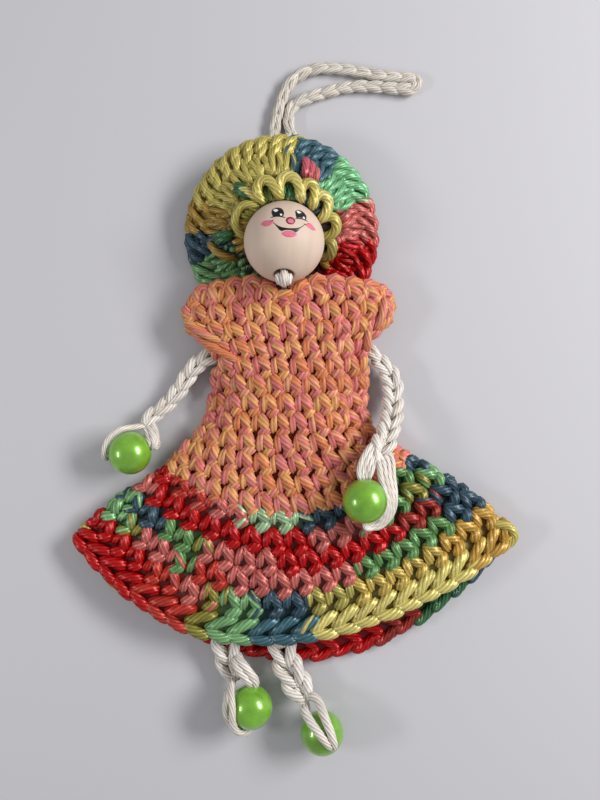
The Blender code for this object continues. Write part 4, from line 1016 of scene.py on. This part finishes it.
def ball(name, radius, bore_radius, centre, axis, material):
    """A ball with a straight bore, rounded a little at the bore's mouths."""
    mouth = math.asin(bore_radius / radius)
    arc = mouth + (math.pi - 2 * mouth) * np.linspace(*BALL_ARC, BALL_STEPS // 2)
    rim = radius * math.cos(mouth)
    lip = radius * LIP_SHARE
    profile = [(radius * math.sin(angle), radius * math.cos(angle)) for angle in arc]
    profile += [(bore_radius + lip * over, -rim + lip * down) for over, down in LIP]
    profile += [(bore_radius, height) for height in np.linspace(-rim, rim, BORE_ROWS)[1:-1]]
    profile += [(bore_radius + lip * over, rim - lip * down) for over, down in LIP[::-1]]
    profile = np.array(profile)
    count = len(profile)
    angle = np.arange(BALL_STEPS) * (2 * math.pi / BALL_STEPS)
    turn = Vector((0, 0, 1)).rotation_difference(Vector(axis).normalized()).to_matrix()
    points = np.stack([profile[:, :1] * np.cos(angle), profile[:, :1] * np.sin(angle),
                       profile[:, 1:] * np.ones(BALL_STEPS)], axis=-1)
    points = points.reshape(-1, 3) @ np.array(turn).T + centre
    index = np.arange(count * BALL_STEPS).reshape(count, BALL_STEPS)
    below = np.roll(index, -1, axis=0)
    quads = np.stack([index, below, np.roll(below, -1, axis=1), np.roll(index, -1, axis=1)], axis=-1)
    quads = quads.reshape(-1, 4)
    return raw_object(name, points, quads.ravel(), np.arange(len(quads)) * 4, material)


def on_head(flat, out):
    """Places on the head from places to the right of and above its nose in millimetres."""
    flat = np.asarray(flat) / 1000
    depth = np.sqrt(HEAD_R**2 - np.sum(flat**2, axis=-1, keepdims=True))
    place = flat[..., :1] * FACE_RIGHT + flat[..., 1:] * FACE_UP + depth * FACE_FRONT
    return HEAD_CENTRE + unit(place) * (HEAD_R + out)


class Print:
    """Thin raised patches of one paint on the head."""

    def __init__(self):
        self.points = []
        self.quads = []
        self.count = 0

    def between(self, upper, lower, out=PAINT_OUT):
        """A patch between two lines of places."""
        upper = resample(smooth(upper, SHAPE_STEPS), PRINT_STEPS) + (0, PRINT_EDGE)
        lower = resample(smooth(lower, SHAPE_STEPS), PRINT_STEPS) - (0, PRINT_EDGE)
        share = np.linspace(0, 1, PRINT_ROWS)[:, None, None]
        flat = upper * (1 - share) + lower * share
        index = self.count + np.arange(PRINT_ROWS * PRINT_STEPS).reshape(PRINT_ROWS, PRINT_STEPS)
        behind = index.size
        quads = [np.stack([index[:-1, :-1], index[1:, :-1], index[1:, 1:], index[:-1, 1:]], axis=-1)]
        quads.append(quads[0][..., ::-1] + behind)
        rim = np.concatenate([index[0, ::-1], index[1:, 0], index[-1, 1:], index[-2:0:-1, -1]])
        after = np.roll(rim, -1)
        quads.append(np.stack([after, rim, rim + behind, after + behind], axis=-1))
        self.points += [on_head(flat, out).reshape(-1, 3), on_head(flat, -PRINT_DEPTH).reshape(-1, 3)]
        self.quads += [part.reshape(-1, 4) for part in quads]
        self.count += 2 * behind

    def inside(self, outline, out=PAINT_OUT):
        """A patch inside a closed outline."""
        outline = np.array(outline)
        outline = np.roll(outline, -int(np.argmin(outline[:, 0])), axis=0)
        far = int(np.argmax(outline[:, 0]))
        halves = [outline[:far + 1], np.concatenate([outline[far:], outline[:1]])[::-1]]
        halves.sort(key=lambda half: -half[:, 1].mean())
        self.between(halves[0], halves[1], out)

    def line(self, points, width, out=PAINT_OUT):
        """A line of a given width in millimetres, thinner towards its ends."""
        middle = resample(smooth(points, SHAPE_STEPS), PRINT_STEPS)
        across = unit(np.gradient(middle, axis=0))[:, ::-1] * (-1, 1)
        half = (width / 2) * taper(PRINT_STEPS, 0.3, 4)[:, None]
        self.between(middle + across * half, middle - across * half, out)

    def ring(self, centre, half_axes, out=PAINT_OUT):
        """A filled ellipse."""
        angle = np.linspace(0, math.pi, 13)
        arch = np.stack([-np.cos(angle) * half_axes[0], np.sin(angle) * half_axes[1]], axis=1)
        self.between(arch + centre, arch * (1, -1) + centre, out)

    def make(self, name, material):
        quads = np.concatenate(self.quads)
        return raw_object(name, np.concatenate(self.points), quads.ravel(),
                          np.arange(len(quads)) * 4, material)


def node_material(name):
    material = bpy.data.materials.new(name)
    material.use_nodes = True
    return material, material.node_tree.nodes, material.node_tree.links


def add_node(nodes, kind, **values):
    """A shader node with its inputs set by name."""
    node = nodes.new(kind)
    for key, value in values.items():
        node.inputs[key.replace("_", " ")].default_value = value
    return node


def set_inputs(shader, **values):
    for key, value in values.items():
        shader.inputs[key.replace("_", " ")].default_value = value


def vector_math(nodes, operation):
    node = nodes.new("ShaderNodeVectorMath")
    node.operation = operation
    return node


def uneven(nodes, links, noise, low, high):
    """A node that makes the colour in its first input darker and lighter with the noise."""
    ramp = add_node(nodes, "ShaderNodeMapRange", From_Min=0.3, From_Max=0.7, To_Min=low, To_Max=high)
    tint = vector_math(nodes, "SCALE")
    links.new(noise.outputs["Fac"], ramp.inputs["Value"])
    links.new(ramp.outputs["Result"], tint.inputs["Scale"])
    return tint


def add_bump(nodes, links, noise, strength, distance):
    """Raise the surface of the material's shader with the noise."""
    bump = add_node(nodes, "ShaderNodeBump", Strength=strength, Distance=distance)
    links.new(noise.outputs["Fac"], bump.inputs["Height"])
    links.new(bump.outputs["Normal"], nodes["Principled BSDF"].inputs["Normal"])


def yarn_material(name, roughness, ior, sheen):
    """Plied cotton: the strand's own dye with its painted shade, uneven along its fibres."""
    material, nodes, links = node_material(name)
    shader = nodes["Principled BSDF"]
    set_inputs(shader, Roughness=roughness, Sheen_Weight=sheen, Sheen_Roughness=0.4, IOR=ior,
               Specular_IOR_Level=1.0)
    dye = nodes.new("ShaderNodeAttribute")
    dye.attribute_name = "dye"
    fibre = nodes.new("ShaderNodeAttribute")
    fibre.attribute_name = "fibre"
    stretch = vector_math(nodes, "MULTIPLY")
    stretch.inputs[1].default_value = FIBRE_STRETCH
    noise = add_node(nodes, "ShaderNodeTexNoise", Scale=1.6, Detail=3.0, Roughness=0.6)
    tint = uneven(nodes, links, noise, 0.78, 1.18)
    gloss = vector_math(nodes, "MULTIPLY_ADD")
    gloss.inputs[1].default_value = GLOSS_SCALE
    gloss.inputs[2].default_value = GLOSS_BASE
    links.new(fibre.outputs["Vector"], stretch.inputs[0])
    links.new(stretch.outputs["Vector"], noise.inputs["Vector"])
    links.new(dye.outputs["Color"], tint.inputs[0])
    links.new(tint.outputs["Vector"], shader.inputs["Base Color"])
    links.new(tint.outputs["Vector"], gloss.inputs[0])
    links.new(gloss.outputs["Vector"], shader.inputs["Specular Tint"])
    add_bump(nodes, links, noise, 0.6, 0.00012)
    return material


def mottled_material(name, colour, scale, low, high, stretch=(1, 1, 1), bump=None, **inputs):
    """A material of one palette colour, made uneven by noise over the piece's own space."""
    material, nodes, links = node_material(name)
    shader = nodes["Principled BSDF"]
    set_inputs(shader, **inputs)
    place = nodes.new("ShaderNodeTexCoord")
    mapping = add_node(nodes, "ShaderNodeMapping", Scale=stretch)
    noise = add_node(nodes, "ShaderNodeTexNoise", Scale=scale, Detail=5.0, Roughness=0.55)
    tint = uneven(nodes, links, noise, low, high)
    tint.inputs[0].default_value = linear(colour)
    links.new(place.outputs["Object"], mapping.inputs["Vector"])
    links.new(mapping.outputs["Vector"], noise.inputs["Vector"])
    links.new(tint.outputs["Vector"], shader.inputs["Base Color"])
    if bump:
        add_bump(nodes, links, noise, *bump)
    return material


def wood_material():
    """Pale sanded wood with fine grain."""
    return mottled_material("Pale sanded wood", "wood", 260.0, 0.93, 1.06, (1.0, 0.12, 0.35),
                            (0.25, 0.00008), Roughness=0.5, Specular_IOR_Level=0.35)


def bead_material():
    """Pearly green plastic under a clear gloss."""
    return mottled_material("Pearly green bead", "lime", 170.0, 0.72, 1.2, Metallic=0.25, Roughness=0.32,
                            Coat_Weight=1.0, Coat_Roughness=0.04, Specular_IOR_Level=0.5)


def paint_material(name, colour):
    """Thin printed paint, a little uneven."""
    return mottled_material(name, colour, 900.0, 0.85, 1.12, bump=(0.2, 0.00004), Roughness=0.38,
                            Specular_IOR_Level=0.45)


def floor_material():
    material, nodes, _ = node_material("Pale floor")
    set_inputs(nodes["Principled BSDF"], Roughness=0.9, Specular_IOR_Level=0.1, Base_Color=FLOOR_COLOUR)
    return material


def add_camera():
    data = bpy.data.cameras.new("Camera")
    data.lens = CAMERA_LENS
    data.sensor_width = CAMERA_SENSOR
    camera = bpy.data.objects.new("Camera", data)
    camera.location = CAMERA_PLACE
    bpy.context.scene.collection.objects.link(camera)
    bpy.context.scene.camera = camera


def add_floor():
    bpy.ops.mesh.primitive_plane_add(size=FLOOR_SIZE, location=(0, 0, FLOOR_Z))
    floor = bpy.context.object
    floor.name = "floor"
    floor.data.materials.append(floor_material())


def add_light(name, place, size, power):
    """A window of soft light that faces the origin."""
    data = bpy.data.lights.new(name, "AREA")
    data.shape = "RECTANGLE"
    data.size, data.size_y = size
    data.energy = power
    light = bpy.data.objects.new(name, data)
    light.location = place
    light.rotation_euler = (-Vector(place)).to_track_quat("-Z", "Y").to_euler()
    bpy.context.scene.collection.objects.link(light)


def add_studio():
    world = bpy.data.worlds.new("Studio")
    world.use_nodes = True
    background = world.node_tree.nodes["Background"]
    set_inputs(background, Color=SKY_COLOUR, Strength=SKY_STRENGTH)
    bpy.context.scene.world = world
    bpy.context.scene.view_settings.view_transform = "Standard"
    for light in LIGHTS:
        add_light(*light)


def armhole_near(points):
    """Whether points lie in an armhole."""
    near = np.zeros(len(points), bool)
    for x in (LEFT_SHOULDER_X - ARMHOLE_OUT, RIGHT_SHOULDER_X + ARMHOLE_OUT):
        close = np.hypot(points[:, 0] - x, points[:, 1] - SHOULDER_Y) < ARMHOLE_R
        near |= close & (points[:, 2] > ARMHOLE_HEIGHTS[0]) & (points[:, 2] < ARMHOLE_HEIGHTS[1])
    return near


def hat_gap_near(points):
    """Whether points lie in one of the holes that show through the brim."""
    near = np.zeros(len(points), bool)
    for x, y, radius in HAT_GAPS:
        near |= np.hypot(points[:, 0] - x, points[:, 1] - y) < radius
    return near


def off_the_head(points):
    """The points, with those that reach the head pushed out just clear of it."""
    reach = np.linalg.norm(points - HEAD_CENTRE, axis=1, keepdims=True)
    return HEAD_CENTRE + (points - HEAD_CENTRE) * np.maximum((HEAD_R + HAT_CLEARANCE) / reach, 1)


def stitch_count(sheet, t, pitch):
    return 2 * round(sheet.half_length(t) / pitch)


def place_piece(piece, body):
    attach(piece, body)


def white_dye(name="cotton"):
    return marled((name, name, "cream", name), WHITE_DRIFT, WHITE_SOFTNESS)


def make_loop(material):
    """The crocheted cord that hangs the doll, one chain round the tip and back."""
    cord_end = HEAD_CENTRE + CROWN_AXIS * (CROWN_R + HAT_WALL + HEAD_CORD_OUT)
    middle = cord_end + CROWN_AXIS * (LOOP_D / 2 + GAP)
    spread = np.array((LOOP_D / 2 + GAP / 2, 0, 0))
    route = Route([middle - spread, *LOOP_OUT_ROUTE, LOOP_TIP, *LOOP_BACK_ROUTE, middle + spread])
    yarn = Yarn()
    # The loop's cotton is darkened as painted shade
    chain(yarn, route, LOOP_PITCH, (LOOP_WIDTH, LOOP_WIDTH), LOOP_THICK, LOOP_YARN_R,
          white_dye("shaded_cotton"))
    piece = yarn.make("hanging_loop_yarn", material)
    place_piece(piece, "loop")
    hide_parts("hanging_loop")


def make_limb(name, route, bead_place, cord, around, strand_paths, material):
    """An arm or a leg: a crocheted cord, its strands past and through a bead, and others.

    bead_place is the bead's middle, its bore, the strands' way past it and the front that
    they lie against. cord is the crocheted cord's pitch, widths, thickness and yarn
    radius. around is how many strands pass the bead, their radius and half the space
    between two. Each further path has its strands' radius, count and half space.
    """
    centre, bore, way, front = bead_place
    pitch, widths, thick, radius = cord
    dye = white_dye()
    yarn = Yarn()
    chain(yarn, Route(route), pitch, widths, thick, radius, dye)
    past = [(*(np.array(point[:3]) / 1000 + centre), *point[3:]) for point in way]
    through = [(*(np.array(bore) * (BEAD_R * share) + centre), BORE_THICKNESS, BORE_SPREAD)
               for share in BORE_SHARES]
    count, strand_r, apart = around
    strands(yarn, Route([route[-2], route[-1], *past, *through], front), strand_r, apart, dye, count)
    for points, strand_r, count, apart in strand_paths:
        strands(yarn, Route(points), strand_r, apart, dye, count)
    piece = yarn.make(name + "_yarn", material)
    place_piece(piece, name)
    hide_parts(name)


def make_limbs(material):
    for limb in LIMBS:
        make_limb(*limb, material)


def make_inner_cords(material):
    """The cords inside the doll."""
    dye = white_dye()
    start = KNOT_CENTRE + CROWN_AXIS * (CHIN_KNOT_D / 2 + GAP)
    end = HEAD_CENTRE + CROWN_AXIS * (CROWN_R + HAT_WALL + HEAD_CORD_OUT)
    inside = np.array((ARM_D / 2 + SHOULDER_SLACK, 0, 0))
    left = np.array((LEFT_SHOULDER_X, SHOULDER_Y, SHOULDER_Z)) + inside
    right = np.array((RIGHT_SHOULDER_X, SHOULDER_Y, SHOULDER_Z)) - inside
    cords = (("head_cord", [start, (start + end) / 2, end], HEAD_CORD_D),
             ("torso_cord", [*CHIN_WAY, *TORSO_ROUTE], TORSO_D),
             ("shoulder_cord", [left, *SHOULDER_ROUTE, right], SHOULDER_D))
    for name, points, diameter in cords:
        yarn = Yarn()
        radius = diameter * INNER_STRAND_SHARE
        strands(yarn, Route(points, INNER_FRONT), radius, diameter / 2 - radius, dye, INNER_STRANDS,
                diameter * INNER_TWIST)
        piece = yarn.make(name + "_yarn", material)
        place_piece(piece, "dress")
        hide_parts(name)


def make_knot(material):
    """The knot at the chin: fat turns of yarn side by side."""
    yarn = Yarn()
    dye = white_dye()
    turn = np.linspace(0, 2 * math.pi, KNOT_STEPS)[:, None]
    for across, lean in KNOT_TURNS:
        reach = math.sqrt((CHIN_KNOT_D / 2 - KNOT_YARN_R)**2 - across**2)
        forward = np.array((math.sin(lean), math.cos(lean), 0))
        side = np.array((math.cos(lean), -math.sin(lean), 0))
        circle = np.cos(turn) * forward * reach + np.sin(turn) * np.array((0, 0, reach))
        line = KNOT_CENTRE + side * across + circle
        yarn.lay(line[None], unit(line[:1] - KNOT_CENTRE), np.full((1, KNOT_STEPS), KNOT_YARN_R),
                 dye(np.zeros(1)))
    piece = yarn.make("neck_knot_yarn", material)
    place_piece(piece, "dress")
    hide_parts("neck_knot")


def hat_shade(t, f):
    """The colour of the hat's dark sheet: the stitches' own, darkened as painted shade."""
    return colours_at(HAT_RUNS, f) * SHEET_PAINTED_SHADE


def hat_bit(degrees, low, high):
    """The way of a stitch that lies over others between two places on the hat's scale."""
    return [(degrees + turn, reach, out) for turn, reach, out in (
        (2, high, -0.8), (1.2, high - 0.8, 0.9), (0, (low + high) / 2, 1.3), (-1.2, low + 0.8, 0.9),
        (-2, low, -0.8))]


def hat_ways():
    """The strands that lie over the hat's rows: way, yarn radius and colour."""
    arches = [([(middle + turn * width, reach, out) for turn, reach, out in HAT_ARCH], HAT_ARCH_R, name)
              for middle, width, name in HAT_ARCHES]
    bits = [(hat_bit(*place), HAT_BIT_R, name) for *place, name in HAT_BITS]
    return arches + bits + [(way, HAT_STRAND_R, name) for way, name in HAT_STRANDS]


def make_hat(material):
    """The hat: arches round the head, posts, slanted strands and a scalloped edge."""
    sheet = hat_sheet()
    other = sheet.flipped(HAT_WALL)
    top = Yarn()
    under = Yarn()
    for count, shift, shapes, runs, radius in HAT_ROWS:
        lay_row((top, top), sheet, hat_level, count, shift, [(shape, 1.0) for shape in shapes],
                striped(runs), radius, hat_gap_near, (HAT_STITCH_DEPTH, HAT_STITCH_DEPTH))
    for way, radius, name in hat_ways():
        places = [(hat_level(reach), turn / 360, out) for turn, reach, out in way]
        lay_places(top, sheet, places, radius, plain(name))
    dye = striped(mirrored(HAT_RUNS))
    for low, high in HAT_UNDER_ROWS:
        count = 2 * round(math.pi * (low + high) / 2 / HAT_UNDER_PITCH)
        lay_row((under, under), other, lambda down: hat_level(low + down * (high - low)), count,
                low * HAT_UNDER_SHIFT, ((LEFT_LEG, 1.0), (RIGHT_LEG, 1.0)), dye, HAT_UNDER_R,
                hat_gap_near, (HAT_UNDER_DEPTH, HAT_UNDER_DEPTH))
    top.points = [off_the_head(points) for points in top.points]
    hat_top = top.make("hat_top", material)
    hat_under = under.make("hat_under", material)
    # Painted shade: a dark sheet behind the stitches, in their colours darkened
    shade_sheet_piece = shade_sheet("hat_shade_sheet", sheet, HAT_SHADE_SHEET_SPAN, lambda t, normals: np.full_like(t, HAT_SHADE_SHEET_DEPTH),
                    hat_shade, material, hat_gap_near)
    for piece in (hat_top, hat_under, shade_sheet_piece):
        place_piece(piece, "hat")
    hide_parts("hat")


def make_bodice(material):
    """The bodice: rows of stitches, arches round the neck and long strands along the wings."""
    sheet = bodice_sheet()
    yarns = (Yarn(BODICE_GROOVE_SHADE), Yarn(BODICE_GROOVE_SHADE))
    dye = marled(BODICE_DYES, BODICE_DRIFT)
    height = (len(BODICE_ROW_SHARES) - 1) / BODICE_ROWS
    for row in range(BODICE_ROWS):
        start = row * height
        count = stitch_count(sheet, start + height / 2, BODICE_PITCH)
        lay_row(yarns, sheet, levels(start, height), count, BODICE_SHIFT * row, BODICE_SHAPES, dye,
                BODICE_YARN_R, armhole_near)
    count = stitch_count(sheet, 0, BODICE_PITCH)
    lay_row(yarns, sheet, levels(0, height), count, NECK_SHIFT, NECK_SHAPES, dye)
    for places in WING_STRANDS:
        lay_places(yarns[0], sheet, places, WING_STRAND_R, dye)
    front = yarns[0].make("bodice_front", material)
    back = yarns[1].make("bodice_back", material)
    # Painted shade: the dark sheet behind the bodice's stitches, rust darkened
    shade = linear("rust") * SHEET_PAINTED_SHADE
    shade_sheet_piece = shade_sheet("bodice_shade_sheet", sheet, BODICE_SHADE_SHEET_SPAN, shade_sheet_depth,
                    lambda t, f: t[..., None] * 0 + shade, material, armhole_near)
    for piece in (front, back, shade_sheet_piece):
        place_piece(piece, "dress")
    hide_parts("bodice")


def skirt_shade(t, f):
    """The colour of the skirt's dark sheet: that of the row over it, darkened as painted shade."""
    rows = (*SKIRT_RUNS, HEM_RUNS)
    row = np.clip((t - SKIRT_START) / SKIRT_ROW_HEIGHT, 0, len(rows) - 1).astype(int)
    result = np.empty(t.shape + (3,))
    for index, runs in enumerate(rows):
        own = row == index
        result[own] = colours_at(runs, f[own]) * SHEET_PAINTED_SHADE
    return result


def make_skirt(material):
    """The skirt: striped rows, a braided hem and two loose loops of thread."""
    sheet = skirt_sheet()
    yarns = (Yarn(), Yarn())
    for row, runs in enumerate(SKIRT_RUNS):
        start = SKIRT_START + SKIRT_ROW_HEIGHT * row
        count = stitch_count(sheet, start + SKIRT_COUNT_AT, SKIRT_PITCH)
        lay_row(yarns, sheet, levels(start, SKIRT_ROW_HEIGHT), count, SKIRT_SHIFT * row, SKIRT_SHAPES,
                striped(runs), SKIRT_YARN_R)
    count = stitch_count(sheet, HEM_COUNT_AT, SKIRT_PITCH)
    lay_row(yarns, sheet, levels(HEM_ROW_START, HEM_ROW_HEIGHT), count, HEM_SHIFT, HEM_SHAPES,
            striped(HEM_RUNS), SKIRT_YARN_R)
    for points, radius, name in STRAY_LOOPS:
        strands(yarns[0], Route(points), radius, 0.0, plain(name), 1)
    front = yarns[0].make("skirt_front", material)
    back = yarns[1].make("skirt_back", material)
    # Painted shade: a dark sheet behind the stitches, in the rows' colours darkened
    shade_sheet_piece = shade_sheet("skirt_shade_sheet", sheet, SKIRT_SHADE_SHEET_SPAN,
                    lambda t, normals: shade_sheet_depth(t, normals, HEM_START), skirt_shade, material)
    for piece in (front, back, shade_sheet_piece):
        place_piece(piece, "dress")
    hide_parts("skirt")


def make_head(wood):
    """The wooden ball and the small face printed on it."""
    head = ball("head_ball", HEAD_R, HEAD_BORE_D / 2, HEAD_CENTRE, CROWN_AXIS, wood)
    place_piece(head, "head")
    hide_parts("head_bead")
    black, white, pink, wine = Print(), Print(), Print(), Print()
    for outline, glints, lash in FACE_EYES:
        black.inside(outline)
        for glint in glints:
            white.inside(glint, PAINT_OVER)
        black.line(lash, LASH_WIDTH)
    wine.ring(*NOSE_RIM)
    pink.ring(*NOSE, PAINT_OVER)
    black.line(FACE_SMILE, SMILE_WIDTH)
    black.between(FACE_SMILE, FACE_MOUTH_LOW, PAINT_UNDER)
    pink.inside(FACE_TONGUE)
    for cheek in FACE_CHEEKS:
        pink.inside(cheek)
    for tick in FACE_TICKS:
        black.line(tick, TICK_WIDTH)
    prints = ((black, "face_black", "ink"), (white, "face_white", "white"),
              (pink, "face_pink", "blush"), (wine, "face_wine", "wine"))
    for paint, name, colour in prints:
        piece = paint.make(name, paint_material("Paint " + colour, colour))
        place_piece(piece, "head")


def make_beads(material):
    for name, centre, bore in (("left_hand", LEFT_HAND, LEFT_HAND_BORE),
                               ("right_hand", RIGHT_HAND, RIGHT_HAND_BORE),
                               ("left_foot", LEFT_FOOT, LEFT_FOOT_BORE),
                               ("right_foot", RIGHT_FOOT, RIGHT_FOOT_BORE)):
        bead = ball(name + "_ball", BEAD_R, BEAD_BORE_D / 2, np.array(centre), bore, material)
        place_piece(bead, name)
        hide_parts(name + "_bead")


add_camera()
YARN = yarn_material("Satin cotton yarn", 0.30, 1.75, 0.0)
WHITE_YARN = yarn_material("White cotton yarn", 0.50, 1.40, 0.08)
SOFT_YARN = yarn_material("Soft cotton yarn", 0.45, 1.45, 0.10)
make_loop(WHITE_YARN)
make_limbs(WHITE_YARN)
make_inner_cords(WHITE_YARN)
make_knot(WHITE_YARN)
make_hat(YARN)
make_bodice(SOFT_YARN)
make_skirt(YARN)
make_head(wood_material())
make_beads(bead_material())
add_floor()
add_studio()
